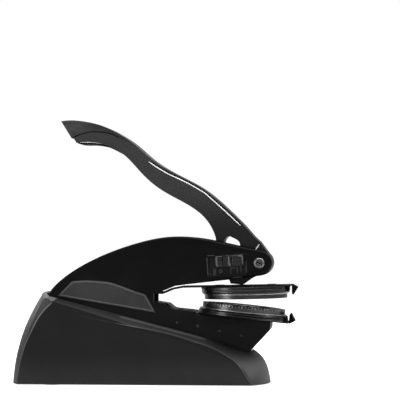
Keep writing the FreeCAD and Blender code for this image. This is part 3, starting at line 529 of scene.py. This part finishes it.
def paint_back_light(tree, source, low, high, low_level, high_level):
    """Painted light: a lighter tone behind the back line, by more towards the top."""
    coords = add_node(tree, "ShaderNodeTexCoord")
    parts = add_node(tree, "ShaderNodeSeparateXYZ")
    link(tree, coords, "Object", parts, "Vector")
    height = add_node(tree, "ShaderNodeMath", operation="DIVIDE")
    height.inputs[1].default_value = MM
    link(tree, parts, "Z", height, 0)
    curve = add_node(tree, "ShaderNodeMath", operation="MULTIPLY_ADD")
    curve.inputs[1].default_value = BACK_CURVE[0]
    curve.inputs[2].default_value = BACK_CURVE[1]
    link(tree, height, "Value", curve, 0)
    for factor in BACK_CURVE[2:]:
        further = add_node(tree, "ShaderNodeMath", operation="MULTIPLY_ADD")
        further.inputs[2].default_value = factor
        link(tree, curve, "Value", further, 0)
        link(tree, height, "Value", further, 1)
        curve = further
    length = add_node(tree, "ShaderNodeMath", operation="DIVIDE")
    length.inputs[1].default_value = MM
    link(tree, parts, "X", length, 0)
    ahead = add_node(tree, "ShaderNodeMath", operation="SUBTRACT")
    link(tree, length, "Value", ahead, 0)
    link(tree, curve, "Value", ahead, 1)
    level = add_node(tree, "ShaderNodeMapRange", interpolation_type="SMOOTHSTEP")
    level.inputs["From Min"].default_value = low
    level.inputs["From Max"].default_value = high
    level.inputs["To Min"].default_value = low_level
    level.inputs["To Max"].default_value = high_level
    link(tree, height, "Value", level, "Value")
    zone = add_node(tree, "ShaderNodeMapRange")
    zone.inputs["From Min"].default_value = 0.2
    zone.inputs["From Max"].default_value = -0.2
    zone.inputs["To Min"].default_value = 1.0
    link(tree, ahead, "Value", zone, "Value")
    link(tree, level, "Result", zone, "To Max")
    return scaled_tone(tree, source, zone)


def edge_wear_and_highlight(tree, source, amount, radius):
    """Add a lighter tone where the surface turns sharply: partly edge wear, partly a painted edge highlight."""
    bevel = add_node(tree, "ShaderNodeBevel", samples=4)
    bevel.inputs["Radius"].default_value = radius * MM
    geometry = add_node(tree, "ShaderNodeNewGeometry")
    dot = add_node(tree, "ShaderNodeVectorMath", operation="DOT_PRODUCT")
    link(tree, bevel, "Normal", dot, 0)
    link(tree, geometry, "Normal", dot, 1)
    edge_mask = add_node(tree, "ShaderNodeMapRange")
    edge_mask.inputs["From Min"].default_value = 0.99
    edge_mask.inputs["From Max"].default_value = 0.80
    link(tree, dot, "Value", edge_mask, "Value")
    lift = add_node(tree, "ShaderNodeVectorMath", operation="SCALE")
    lift.inputs[0].default_value = (amount, amount, amount)
    link(tree, edge_mask, "Result", lift, "Scale")
    lighter = add_node(tree, "ShaderNodeVectorMath", operation="ADD")
    link(tree, source, "Vector", lighter, 0)
    link(tree, lift, "Vector", lighter, 1)
    return lighter


def make_finishes():
    """Every finish of the object, by the name of its slot or of its use."""
    lengthwise = (0.15, 3, 3)
    rings = (0.25, 0.25, 7)
    along_grip = (0.12, 0.5, 1.6)
    return {
        # Painted light on the cradle: lighter low down, towards the nose, on faces that look up and behind the back
        # line.
        "cradle": surface(
            "cradle_plastic", (0.0085, 0.0085, 0.0087), 0.5, specular=0.2, grain=2500, grain_depth=0.03,
            edge=0.05, edge_radius=0.5, painted_height_light=(1.5, 16.0, 1.7, 0.55),
            painted_length_light=(46.0, 60.0, 0.9, 4.8), top_light_level=3.4, painted_back_light=(2.0, 42.0, 1.4, 8.5),
        ),
        "floor": surface("floor_plastic", (0.02, 0.02, 0.021), 0.6, grain=1800, grain_depth=0.03),
        "ballast": surface("cast_iron", (0.10, 0.10, 0.10), 0.7, metallic=0.8, grain=900, grain_depth=0.15),
        "foot": surface("foot_rubber", (0.015, 0.015, 0.015), 0.8, grain=1500, grain_depth=0.04),
        "screw": surface("zinc_screw", (0.35, 0.35, 0.36), 0.35, metallic=1.0, grain=1500),
        # Painted light: the body is lighter below 34 mm, on its jaw.
        "body": surface(
            "body_black", (0.0026, 0.0026, 0.0028), 0.42, specular=0.08, grain=3000, grain_depth=0.01,
            edge=0.010, painted_height_light=(34.0, 44.0, 2.2, 1.0),
        ),
        "pin": surface("ground_pin", (0.035, 0.035, 0.035), 0.3, metallic=1.0, grain=1200),
        "plate": surface(
            "plate_plastic", (0.026, 0.026, 0.027), 0.6, specular=0.2, grain=2600, grain_depth=0.04,
            edge=0.02,
        ),
        "core": surface("core_black", (0.008, 0.008, 0.0085), 0.45, specular=0.2, grain=1500, grain_depth=0.02),
        # Painted shade: the handle is darker low down, towards its knuckle.
        "handle": surface(
            "handle_plastic", (0.029, 0.029, 0.030), 0.42, specular=0.25, tone=0.07, grain=1600,
            grain_depth=0.006, stretch=along_grip, turn=0.6, edge=0.02,
            painted_height_light=(72.0, 100.0, 0.15, 1.0),
        ),
        # Painted light: the cap is lighter at its back tip and darker towards the handle.
        "cap": surface(
            "cap_plastic", (0.031, 0.031, 0.032), 0.42, specular=0.25, tone=0.28, grain=700,
            grain_depth=0.012, stretch=along_grip, turn=0.15, edge=0.02,
            painted_length_light=(-44.0, -22.0, 1.35, 0.65),
        ),
        "bearing": surface("bearing_steel", (0.09, 0.09, 0.093), 0.35, metallic=1.0, grain=1500, edge=0.3),
        "washer": surface("washer_plastic", (0.02, 0.02, 0.02), 0.5),
        "spring": surface("spring_wire", (0.5, 0.5, 0.5), 0.3, metallic=1.0),
        "cup": surface("cup_plastic", (0.02, 0.02, 0.02), 0.5),
        "leaf": surface("leaf_black", (0.010, 0.010, 0.0105), 0.4, specular=0.2, grain=600, stretch=lengthwise),
        # Painted reflection: the holders are lighter at their back end and darker from their middle forward.
        "holder": surface(
            "holder_metal", (0.042, 0.042, 0.043), 0.25, metallic=0.95, grain=900, stretch=rings,
            edge=0.05, tone=0.3, painted_length_light=(16.0, 46.0, 1.7, 0.6),
        ),
        "die": surface(
            "die_metal", (0.062, 0.062, 0.064), 0.28, metallic=0.9, grain=900, stretch=rings, edge=0.1,
            tone=0.3,
        ),
        "clip": surface("clip_black", (0.008, 0.008, 0.0085), 0.4, specular=0.2, grain=800, stretch=lengthwise),
        "rivet": surface("rivet_black", (0.02, 0.02, 0.021), 0.4, specular=0.3),
        "bezel": surface("bezel_plastic", (0.005, 0.005, 0.0055), 0.45, specular=0.15, grain=2500, edge=0.01),
        "slider": surface(
            "slider_plastic", (0.0075, 0.0075, 0.0078), 0.32, specular=0.4, grain=2500, edge=0.02,
        ),
        # A near-white painted highlight line for the edges of the handle and knuckle.
        "line": surface(
            "painted_highlight_line", (0.93, 0.93, 0.93), 0.25, specular=0.5, tone=0.04, grain=1500,
            grain_depth=0.004,
        ),
        "seam": surface("seam_shadow", (0.002, 0.002, 0.002), 0.8, specular=0.05, grain=2000),
        # Painted highlight for the cradle's crease, the shoulder's edge and the body's foot line.
        "crease": surface("painted_crease_highlight", (0.046, 0.046, 0.047), 0.4, specular=0.3, grain=2500),
        # Painted highlight, brighter towards the top, for the line along the cradle's back.
        "painted_back_highlight_line": surface(
            "painted_back_highlight_line", (0.042, 0.042, 0.043), 0.4, specular=0.3, grain=2500,
            painted_height_light=(2.0, 42.0, 0.7, 3.0),
        ),
        # Painted highlight: the plate rim is lighter than the plate.
        "rim": surface("plate_rim", (0.060, 0.060, 0.062), 0.45, specular=0.3, grain=2500),
        # Painted highlight for the edges of the lock's knob.
        "knob_highlight": surface("painted_highlight_on_knob", (0.09, 0.09, 0.092), 0.35, specular=0.4, grain=2500),
        # Painted highlight for the lips of the holders.
        "lip": surface(
            "painted_highlight_lip", (0.42, 0.42, 0.43), 0.3, metallic=1.0, grain=1500, stretch=rings, tone=0.1,
        ),
        # Painted highlight for the bright ticks of the die's relief.
        "relief": surface("relief_with_painted_highlight", (0.30, 0.30, 0.31), 0.35, metallic=0.9, grain=2500, tone=0.3),
        # Light moulded marks on the bezel; on the window's frame the same colour is a painted highlight.
        "mark": surface("moulded_mark_and_highlight", (0.045, 0.045, 0.046), 0.45, specular=0.3, grain=2500),
        "ring": surface("pivot_ring", (0.15, 0.15, 0.155), 0.34, metallic=1.0, grain=1500, edge=0.1),
    }


FINISH = make_finishes()

# Every CAD piece that stays visible wears the finish of its slot
for node_name, node in NODES.items():
    node.data.materials.clear()
    node.data.materials.append(FINISH[SLOT_OF[node_name]])


# Pieces


def make_softened():
    """The moulded and cast pieces have small rounds on their edges."""
    softened("cradle_shell", 0.45)
    softened("press_half_near", 0.25)
    softened("press_half_far", 0.25)
    softened("lever_handle", 0.6)
    softened("grip_cap", 0.6)
    softened("lever_core", 0.3)
    softened("nameplate_near", 0.2)
    softened("nameplate_far", 0.2)
    softened("lock_bezel", 0.12)
    softened("lock_slider", 0.25)


def bead(name, body, slot_name, finish, path, width, height, tree, side, closed=False):
    """A raised line on a side face, with its body and finish."""
    finished(ribbon(name, path, width, height, tree, side, closed), body, slot_name, finish=finish)


def make_handle_lines():
    """The handle's painted highlight line with a strip of painted shade beside it, the cap's seam and the knuckle's
    painted highlight line.
    """
    handle = surface_of("lever_handle", "grip_cap")
    knuckle = surface_of("lever_handle", "lever_core")
    for side, name in ((-1, "near"), (1, "far")):
        top = over_surface(smooth_path(TOP_LINE), handle, side, 0.35)
        # The near-white top line is a painted highlight.
        bead("top_line_" + name, "lever", "handle", "line", top, 0.46, 0.14, handle, side)
        # The dark strip beside it is painted shade of the handle's top.
        edge = over_surface(offset_path(top, 0.6), handle, side, 0.2)
        bead("top_edge_" + name, "lever", "handle", "seam", edge, 0.5, 0.05, handle, side)
        seam = over_surface(smooth_path(CAP_SEAM), handle, side, 0.2)
        bead("cap_seam_" + name, "lever", "cap", "seam", seam, 0.5, 0.04, handle, side)
        # The knuckle's light line is a painted highlight.
        short = over_surface(smooth_path(KNUCKLE_SEAM), knuckle, side, 0.2)
        bead("knuckle_seam_" + name, "lever", "core", "line", short, 0.5, 0.12, knuckle, side)


def wall_plane(tree, side):
    """Depth and slope of the cradle's side wall, as (depth at the desk, change per millimetre up)."""
    low, high = (on_side(tree, 0.0, z, side).y / MM for z in WALL_HEIGHTS)
    slope = (high - low) / (WALL_HEIGHTS[1] - WALL_HEIGHTS[0])
    return low - slope * WALL_HEIGHTS[0], slope


def make_grip_liner():
    """A thin dark liner under the grip, painted shade of its underside: it deepens the grip's lower edge and carries a
    painted highlight line.
    """
    path = smooth_path(GRIP_LOW)
    section = ((-10.1, 1.5), (-10.25, 0.25), (-10.0, 0.0), (10.0, 0.0), (10.25, 0.25), (10.1, 1.5))
    verts = [(spot.x * MM, y * MM, (spot.y + up) * MM) for spot in path for y, up in section]
    faces = loft_faces(len(path), len(section))
    # The liner's dark colour is painted shade of the grip's underside.
    liner = finished(mesh_object("grip_liner", verts, faces, 25), "lever", "handle", finish="seam")
    tree = surface_of(more=[liner])
    # The bright line on the liner is a painted highlight.
    line = [Vector((spot.x, spot.y + 0.95)) for spot in path[1:-2]]
    for side, name in ((-1, "near"), (1, "far")):
        bead("grip_line_" + name, "lever", "handle", "line", line, 0.55, 0.28, tree, side)


def make_cradle_crease():
    """The side wall runs up to a crisp crease with a painted highlight line, and the shoulder above it has a painted
    highlight on its edge and a dark groove line.
    """
    for side, name in ((-1, "near"), (1, "far")):
        shell = surface_of("cradle_shell")
        path = over_surface(smooth_path(CREASE, 8), shell, side, 0.3)
        start, slope = wall_plane(shell, side)
        skin = wall_skin("wall_skin_" + name, path, start, slope, side)
        tree = surface_of("cradle_shell", more=[skin])
        # The crease line is a painted highlight, only towards the front.
        highlit = [spot for spot in path if spot.x > CREASE_HIGHLIGHT_START]
        bead("crease_" + name, "press_and_cradle", "cradle", "crease", highlit, 0.5, 0.10, tree, side)
        # The shoulder's light edge is a painted highlight.
        edge = under_edge(smooth_path(SHOULDER_EDGE), shell, side, 0.65)
        bead("shoulder_edge_" + name, "press_and_cradle", "cradle", "crease", edge, 0.95, 0.12, shell, side)
        groove = under_edge(smooth_path(SHOULDER_EDGE)[6:], shell, side, 1.5)
        bead("shoulder_groove_" + name, "press_and_cradle", "cradle", "core", groove, 0.45, 0.05, shell, side)


def wall_skin(name, path, start, slope, side):
    """A flat stretch of the side wall between the crease and the face below it."""
    verts = []
    count = len(path)
    for index, spot in enumerate(path):
        drop = SKIN_REACH * math.sin(math.pi * index / (count - 1)) + 0.2
        foot = spot.y - drop
        for z, back in ((spot.y, -0.02), (spot.y, SKIN_DEPTH), (foot, SKIN_DEPTH), (foot, 0.04)):
            depth = start + slope * z - side * back
            verts.append((spot.x * MM, depth * MM, z * MM))
    return finished(mesh_object(name, verts, loft_faces(count, 4), 20), "press_and_cradle", "cradle")


def make_back_lines():
    """A raised painted highlight line, brighter towards the top, between the flat side wall and the rounded back, whose
    lighter tone is painted light.
    """
    shell = surface_of("cradle_shell")
    for side, name in ((-1, "near"), (1, "far")):
        line = over_surface(smooth_path(BACK_LINE), shell, side, 0.3)
        bead("back_line_" + name, "press_and_cradle", "cradle", "painted_back_highlight_line", line, 0.6, 0.16, shell, side)


def make_foot_line():
    """A light line above the foot of the body's nose, over the cam: a painted highlight."""
    tree = surface_of("press_half_near", "press_half_far")
    for side, name in ((-1, "near"), (1, "far")):
        path = over_surface(smooth_path(FOOT_LINE), tree, side, 0.1)
        bead("foot_line_" + name, "press_and_cradle", "body", "crease", path, 0.5, 0.12, tree, side)


def make_leaves():
    """The leaves' front tongues are bare metal like the holders, and their hooks are black."""
    for node, tilt in (("upper_leaf", UPPER_TILT), ("lower_leaf", LOWER_TILT)):
        piece = softened(node, 0.08)
        piece.data.materials.append(FINISH["holder"])
        piece.data.materials.append(FINISH["seam"])
        to_die = die_frame(tilt).inverted()
        reach = max((to_die @ v.co).x for v in piece.data.vertices) / MM
        flat = UPPER_LEAF_UNDER if node == "upper_leaf" else LOWER_LEAF_TOP
        for face in piece.data.polygons:
            spot = to_die @ face.center / MM
            off_strip = spot.z < flat - 0.15 if node == "upper_leaf" else spot.z > flat + 0.15
            if off_strip:
                face.material_index = 1 if spot.x < reach - HOOK_LENGTH else 2


def make_return_spring():
    """A copy of the return spring with a mesh of its own, standing for the CAD node; the real spring shortens towards
    its cup as the handle comes down.
    """
    piece = new_object("pressed_spring", NODES["return_spring"].data.copy())
    finished(piece, "press_and_cradle", SLOT_OF["return_spring"], "return_spring")
    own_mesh(piece)


def make_plate_rims():
    """A raised rim around each nameplate, lighter than the plate as a painted highlight."""
    for side, node in ((-1, "nameplate_near"), (1, "nameplate_far")):
        tree = surface_of(node)
        border = smooth_corners(inset(PLATE_CORNERS, 0.62))
        bead("rim_" + node, "press_and_cradle", "plate", "rim", border, 0.75, 0.16, tree, side, True)


def smooth_corners(points, reach=0.5, steps=3):
    """A closed outline with its corners rounded off."""
    path = []
    count = len(points)
    for i in range(count):
        here = Vector(points[i])
        start = here + (Vector(points[i - 1]) - here).normalized() * reach
        end = here + (Vector(points[(i + 1) % count]) - here).normalized() * reach
        for k in range(steps + 1):
            t = k / steps
            path.append(start * (1 - t) ** 2 + here * 2 * t * (1 - t) + end * t ** 2)
    return path


def make_dies():
    """The two holders with their grooves and seats, their lips painted bright as a highlight, and the relief of the
    lower die.
    """
    upper = die_frame(UPPER_TILT)
    lower = die_frame(LOWER_TILT)
    top = UPPER_LEAF_UNDER
    low = UPPER_HOLDER_UNDER
    r = UPPER_HOLDER_RADIUS
    seat = DIE_RADIUS + 0.05
    upper_holder = [
        (0, top), (r - 0.35, top), (r, top - 0.3), (r, top - 0.8), (r - 0.18, top - 0.95), (r - 0.18, top - 1.25),
        (r - 0.05, top - 1.4), (r - 0.12, top - 2.1), (r - 0.4, top - 2.25), (r - 0.4, top - 2.5),
        (r - 0.22, top - 2.65), (r - 0.5, top - 3.2), (r - 1.0, low + 0.12), (seat, low + 0.12),
        (seat, low + SEAT_DEPTH), (0, low + SEAT_DEPTH),
    ]
    finished(turned("turned_upper_holder", upper_holder, upper), "upper_jaw", "holder", "upper_holder")
    lip = [(seat, low - 0.28), (seat + 0.35, low - 0.22), (seat + 0.55, low - 0.02), (seat + 0.55, low + 0.12),
           (seat, low + 0.12)]
    add_ring("upper_lip", lip, upper, "upper_jaw")
    top = LOWER_HOLDER_TOP
    low = LOWER_LEAF_TOP
    r = LOWER_HOLDER_RADIUS
    lower_holder = [
        (0, top - SEAT_DEPTH), (seat, top - SEAT_DEPTH), (seat, top - 0.1), (r - 1.3, top - 0.1),
        (r - 0.75, top - 0.35), (r - 0.5, top - 0.95), (r - 0.62, top - 1.05), (r - 0.62, top - 1.3),
        (r - 0.4, top - 1.42), (r - 0.25, top - 2.0), (r - 0.38, top - 2.1), (r - 0.38, top - 2.35),
        (r - 0.08, top - 2.5), (r, low + 0.3), (r - 0.3, low), (0, low),
    ]
    finished(turned("turned_lower_holder", lower_holder, lower), "die_set", "holder", "lower_holder")
    lip = [(seat, top - 0.1), (seat + 0.75, top - 0.1), (seat + 0.75, top + 0.05), (seat + 0.5, top + 0.22),
           (seat, top + 0.28)]
    add_ring("lower_lip", lip, lower, "die_set")
    make_relief(lower)


def add_ring(name, profile, place, body):
    """A ring on a holder, painted bright as a highlight."""
    finished(turned(name, profile, place), body, "holder", finish="lip")


def make_relief(place):
    """Low ticks on the lower die's face, a plain made-up pattern: every other one is bright as a painted highlight and
    the rest dark as painted shade.
    """
    # Painted highlight on the bright ticks and painted shade on the dark ones.
    for finish, parity in (("relief", 0), ("seam", 1)):
        verts = []
        faces = []
        for inner, outer, pace in ((18.4, DIE_RADIUS + 0.06, 0.7), (15.2, 17.6, 1.25), (11.0, 14.2, 1.7)):
            tick_ring(verts, faces, place, inner, outer, pace, parity)
        finished(mesh_object("die_relief_" + finish, verts, faces, 30), "die_set", "die", finish=finish)


def wave(value):
    """A smooth share between 0 and 1, to vary the ticks."""
    return 0.5 + 0.5 * math.sin(value)


def tick_ring(verts, faces, place, inner, outer, pace, parity):
    """One ring of ticks between two radii; every other tick belongs to the other finish."""
    turn = 0.0
    index = 0
    while turn < 2 * math.pi - 0.05 * pace:
        width = (0.022 + 0.030 * wave(index * 2.4 + pace)) * pace
        gap = (0.012 + 0.016 * wave(index * 1.7 + 1.0)) * pace
        height = 0.14 + 0.13 * wave(index * 3.1 + 0.5)
        near = inner + (outer - inner) * 0.45 * wave(index * 1.3)
        if index % 2 == parity:
            drop = 0.1 + 0.55 * wave(index * 0.9 + 2.0) if outer > DIE_RADIUS else 0.05
            add_tick(verts, faces, place, (turn, turn + width), (near, outer), height, drop)
        turn += width + gap
        index += 1


def add_tick(verts, faces, place, turns, radii, height, drop):
    """A small block on the die's face, a little narrower at its top."""
    start = len(verts)
    for level in (-drop, height):
        slope = 0.0 if level < 0 else 0.05
        for turn, radius in ((turns[0], radii[0]), (turns[1], radii[0]), (turns[1], radii[1]), (turns[0], radii[1])):
            reach = radius - (slope if radius == radii[1] else -slope)
            spot = Vector((reach * math.cos(turn), reach * math.sin(turn), LOWER_DIE_FACE + level))
            verts.append(place @ (spot * MM))
    for face in BOX_FACES:
        faces.append([start + i for i in face])


def make_pivot_head():
    """The pivot screw's head: a rounded rim around a dished middle with a slanting slot, drawn as a thin dark box of
    painted shade.
    """
    turn = Matrix.Rotation(math.radians(90), 4, "X")
    proud = -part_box("pivot_screw")[0][1] / MM
    place = Matrix.Translation((PIVOT[0] * MM, 0, PIVOT[1] * MM)) @ turn
    rim = [(1.75, proud - 0.1), (1.75, proud + 0.04), (1.9, proud + 0.2), (2.1, proud + 0.26), (2.3, proud + 0.18),
           (2.45, proud), (2.45, proud - 0.1)]
    finished(turned("pivot_rim", rim, place, 64), "press_and_cradle", "bearing", finish="ring")
    # The slot is a thin dark box laid on the head: painted shade of a slot.
    wedge_turn = place @ Matrix.Rotation(math.radians(-24), 4, "Z")
    verts = []
    for level, size in ((proud - 0.05, 1.0), (proud + 0.03, 0.96)):
        for x, y in ((-1.7, -0.28), (1.7, -0.28), (1.7, 0.28), (-1.7, 0.28)):
            verts.append(wedge_turn @ (Vector((x * size, y * size, level)) * MM))
    finished(mesh_object("pivot_slot", verts, BOX_FACES, 30), "press_and_cradle", "bearing", finish="seam")


def make_jaw_pin_heads():
    """The low domes of the four jaw pins, on both sides."""
    face = HALF_WIDTH + 0.25
    dome = [(0, face - 0.3), (0.72, face - 0.3), (0.72, face - 0.05), (0.6, face + 0.12), (0.4, face + 0.22),
            (0.2, face + 0.27), (0, face + 0.28)]
    for side, name in ((-1, "near"), (1, "far")):
        turn = Matrix.Rotation(math.radians(-90 * side), 4, "X")
        for index, (x, z) in enumerate(pin_spots()):
            piece = turned("jaw_pin_head_%s_%d" % (name, index), dome, Matrix.Translation((x, 0, z)) @ turn, 32)
            finished(piece, "press_and_cradle", "pin")


def lock_place(forward, up, depth):
    """A point in the tilted frame of the lock window."""
    lean = math.radians(LOCK_LEAN)
    x = PIVOT[0] - LOCK_BACK + forward * math.cos(lean) - up * math.sin(lean)
    z = PIVOT[1] - LOCK_DROP + forward * math.sin(lean) + up * math.cos(lean)
    return Vector((x * MM, depth * MM, z * MM))


def raised_strip(name, body, slot_name, finish, corners, back, front, slant):
    """A small raised shape on the lock: a closed outline in the lock's frame, with a slanting edge."""
    count = len(corners)
    middle = [sum(c[k] for c in corners) / count for k in (0, 1)]
    verts = [lock_place(x, z, back) for x, z in corners]
    for x, z in corners:
        reach = math.hypot(x - middle[0], z - middle[1])
        keep = 1 - slant / reach
        verts.append(lock_place(middle[0] + (x - middle[0]) * keep, middle[1] + (z - middle[1]) * keep, front))
    faces = [tuple(range(count)), tuple(range(count, 2 * count))]
    for k in range(count):
        faces.append((k, (k + 1) % count, count + (k + 1) % count, count + k))
    finished(mesh_object(name, verts, faces, 30), body, slot_name, finish=finish)


def block(left, right, low, high):
    """The outline of an upright block, in the frame of the lock window."""
    return ((left, low), (right, low), (right, high), (left, high))


def make_lock_marks():
    """Plain marks below the knob, and a thin raised frame around the window whose light colour is a painted highlight.
    """
    face = -HALF_WIDTH + 0.7
    rings = ((-6.2, -2.35, 0.95), (-6.2, -4.0, 0.95), (-3.1, -2.9, 1.05), (-8.5, -3.9, 0.5))
    for index, (x, up, size) in enumerate(rings):
        outline = [(x + size * 0.85 * c, up + size * d) for c, d in circle_points(14)]
        hollow = [(x + size * 0.35 * c, up + size * 0.45 * d) for c, d in circle_points(14)]
        lock_mark("mark_round_%d" % index, "mark", outline, face + 0.05, face - 0.24, 0.12)
        lock_mark("mark_hollow_%d" % index, "seam", hollow, face - 0.2, face - 0.27, 0.05)
    bars = (
        block(1.6, 2.0, -4.4, -1.5),
        block(2.0, 5.2, -1.9, -1.5),
        block(4.9, 5.3, -4.4, -1.9),
        block(6.6, 7.0, -4.2, -0.9),
    )
    for index, outline in enumerate(bars):
        lock_mark("mark_bar_%d" % index, "mark", outline, face + 0.05, face - 0.2, 0.05)
    # The light frame lines are painted highlights on the bezel's edge.
    outer = -HALF_WIDTH
    frames = (
        ("left", block(-9.75, -9.35, -4.6, 4.0)),
        ("top", block(-9.0, -5.6, 5.0, 5.3)),
        ("right", block(9.4, 9.7, -4.4, 1.4)),
    )
    for name, outline in frames:
        raised_strip("lock_frame_" + name, "press_and_cradle", "body", "mark", outline, outer + 0.1, outer - 0.14, 0.05)


def lock_mark(name, finish, outline, back, front, slant):
    """A mark on the bezel of the lock window."""
    raised_strip(name, "press_and_cradle", "bezel", finish, outline, back, front, slant)


def circle_points(count):
    """Points on a circle of radius 1."""
    return [(math.cos(2 * math.pi * k / count), math.sin(2 * math.pi * k / count)) for k in range(count)]


def make_knob_edges():
    """Bright edges on the lobes of the lock's knob: painted highlights."""
    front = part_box("lock_slider")[0][1] / MM
    left_edge = ((-5.25, 0.2), (-4.9, -0.5), (-4.1, -0.75), (-4.3, 0.1), (-4.35, 3.4), (-3.9, 4.3), (-4.8, 4.2),
                 (-5.25, 3.6))
    raised_strip("knob_left_edge", "lock", "slider", "knob_highlight", left_edge, front + 0.35, front - 0.05, 0.2)
    corner = ((5.9, 3.9), (7.6, 3.7), (7.9, 2.6), (7.9, -0.2), (8.3, 0.0), (8.5, 2.8), (8.3, 4.1), (7.6, 4.6),
              (5.9, 4.6))
    raised_strip("knob_corner", "lock", "slider", "knob_highlight", corner, front + 0.8, front + 0.35, 0.2)
    ridge = ((1.0, -0.2), (1.4, -0.75), (2.1, -0.6), (2.2, 0.2), (1.8, 0.8), (1.7, 4.2), (1.0, 4.2))
    raised_strip("knob_ridge_line", "lock", "slider", "knob_highlight", ridge, front + 0.35, front - 0.05, 0.2)


def pin_spots():
    """Middles of the jaw pins, from the loose parts of their node."""
    form = bmesh.new()
    form.from_mesh(NODES["jaw_pins"].data)
    bmesh.ops.remove_doubles(form, verts=form.verts, dist=0.001 * MM)
    seen = set()
    spots = []
    for vert in form.verts:
        if vert in seen:
            continue
        group = [vert]
        seen.add(vert)
        for member in group:
            for edge in member.link_edges:
                other = edge.other_vert(member)
                if other not in seen:
                    seen.add(other)
                    group.append(other)
        spots.append((sum(v.co.x for v in group) / len(group), sum(v.co.z for v in group) / len(group)))
    form.free()
    return sorted(spots)


# Stage


# Lamps, as (name, place, target, size, power), in metres and watts
LAMPS = (
    ("left_softbox", (-0.70, -0.57, 0.22), (0, 0, 0.05), (0.30, 0.45), 4.0),
    ("right_softbox", (0.62, -0.02, 0.60), (0, 0, 0.04), (0.4, 0.5), 4.4),
    ("top_softbox", (0.0, -0.20, 0.88), (0, 0, 0.05), (0.8, 0.5), 8.5),
    ("back_softbox", (-0.15, 0.75, 0.6), (0, 0, 0.06), (0.6, 0.4), 1.5),
)

# The camera stands level, its place in millimetres, turned this many degrees from the side
CAMERA_PLACE = (110.9, -1014.2, 73.15)
CAMERA_TURN = 5
CAMERA_LENS = 183.6
CAMERA_SHIFT = 0.09


def make_stage():
    """A white floor that the camera sees bright, with the shadow of the object on it."""
    mesh = bpy.data.meshes.new("studio_floor")
    size = 6.0
    corners = [(-size, -size, 0), (size, -size, 0), (size, size, 0), (-size, size, 0)]
    mesh.from_pydata(corners, [], [(0, 1, 2, 3)])
    floor = new_object("studio_floor", mesh)
    material = bpy.data.materials.new("studio_white")
    material.use_nodes = True
    tree = material.node_tree
    shader = tree.nodes["Principled BSDF"]
    shader.inputs["Base Color"].default_value = (0.8, 0.8, 0.8, 1)
    shader.inputs["Roughness"].default_value = 0.9
    floor.data.materials.append(material)
    amount = add_node(tree, "ShaderNodeMath", operation="MULTIPLY")
    link(tree, seen_backdrop(tree), "Value", amount, 0)
    link(tree, fade_outward(tree, 0.25, 0.60, 0.85, 1.0), "Result", amount, 1)
    shader.inputs["Emission Color"].default_value = (1, 1, 1, 1)
    link(tree, amount, "Value", shader, "Emission Strength")


def fade_outward(tree, near, far, near_value, far_value):
    """A value that changes with the distance from the middle of the stage."""
    coords = add_node(tree, "ShaderNodeTexCoord")
    distance = add_node(tree, "ShaderNodeVectorMath", operation="LENGTH")
    link(tree, coords, "Object", distance, 0)
    ramp = add_node(tree, "ShaderNodeMapRange")
    ramp.inputs["From Min"].default_value = near
    ramp.inputs["From Max"].default_value = far
    ramp.inputs["To Min"].default_value = near_value
    ramp.inputs["To Max"].default_value = far_value
    link(tree, distance, "Value", ramp, "Value")
    return ramp


def seen_backdrop(tree):
    """One where the camera or a clear piece sees the backdrop, and a small share of it in gloss."""
    path = add_node(tree, "ShaderNodeLightPath")
    gloss = add_node(tree, "ShaderNodeMath", operation="MULTIPLY")
    gloss.inputs[1].default_value = 0.12
    link(tree, path, "Is Glossy Ray", gloss, 0)
    direct = add_node(tree, "ShaderNodeMath", operation="MAXIMUM")
    link(tree, path, "Is Camera Ray", direct, 0)
    link(tree, path, "Is Transmission Ray", direct, 1)
    total = add_node(tree, "ShaderNodeMath", operation="MAXIMUM")
    link(tree, direct, "Value", total, 0)
    link(tree, gloss, "Value", total, 1)
    return total


def make_world():
    """A dim studio in front of the object and a brighter one behind it."""
    world = bpy.data.worlds.new("studio")
    bpy.context.scene.world = world
    world.use_nodes = True
    tree = world.node_tree
    background = tree.nodes["Background"]
    background.inputs["Color"].default_value = (1, 1, 1, 1)
    coords = add_node(tree, "ShaderNodeTexCoord")
    parts = add_node(tree, "ShaderNodeSeparateXYZ")
    link(tree, coords, "Generated", parts, "Vector")
    behind = add_node(tree, "ShaderNodeMapRange", interpolation_type="SMOOTHSTEP")
    behind.inputs["From Min"].default_value = 0.25
    behind.inputs["From Max"].default_value = 0.85
    behind.inputs["To Min"].default_value = 0.10
    behind.inputs["To Max"].default_value = 0.45
    link(tree, parts, "Y", behind, "Value")
    level = add_node(tree, "ShaderNodeMath", operation="MAXIMUM")
    link(tree, behind, "Result", level, 0)
    link(tree, seen_backdrop(tree), "Value", level, 1)
    link(tree, level, "Value", background, "Strength")


def area_light(name, place, target, size, power):
    """A soft rectangular lamp that points at a target."""
    data = bpy.data.lights.new(name, "AREA")
    data.shape = "RECTANGLE"
    data.size, data.size_y = size
    data.energy = power
    light = bpy.data.objects.new(name, data)
    light.location = place
    light.rotation_euler = (Vector(target) - Vector(place)).to_track_quat("-Z", "Y").to_euler()
    bpy.context.scene.collection.objects.link(light)


def make_lights():
    """Three soft lamps in front and above, and a weak one behind."""
    for lamp in LAMPS:
        area_light(*lamp)


def make_camera():
    """The photograph's view, with the picture shifted up."""
    data = bpy.data.cameras.new("camera")
    data.lens = CAMERA_LENS
    data.sensor_width = 36.0
    data.shift_y = CAMERA_SHIFT
    data.clip_end = 20
    camera = bpy.data.objects.new("camera", data)
    camera.location = [value * MM for value in CAMERA_PLACE]
    camera.rotation_euler = (math.radians(90), 0, math.radians(CAMERA_TURN))
    bpy.context.scene.collection.objects.link(camera)
    bpy.context.scene.camera = camera


make_softened()
make_handle_lines()
make_dies()
make_pivot_head()
make_jaw_pin_heads()
make_grip_liner()
make_cradle_crease()
make_back_lines()
make_foot_line()
make_leaves()
make_return_spring()
make_plate_rims()
make_lock_marks()
make_knob_edges()
make_stage()
make_world()
make_lights()
make_camera()
bpy.context.scene.view_settings.view_transform = "Standard"
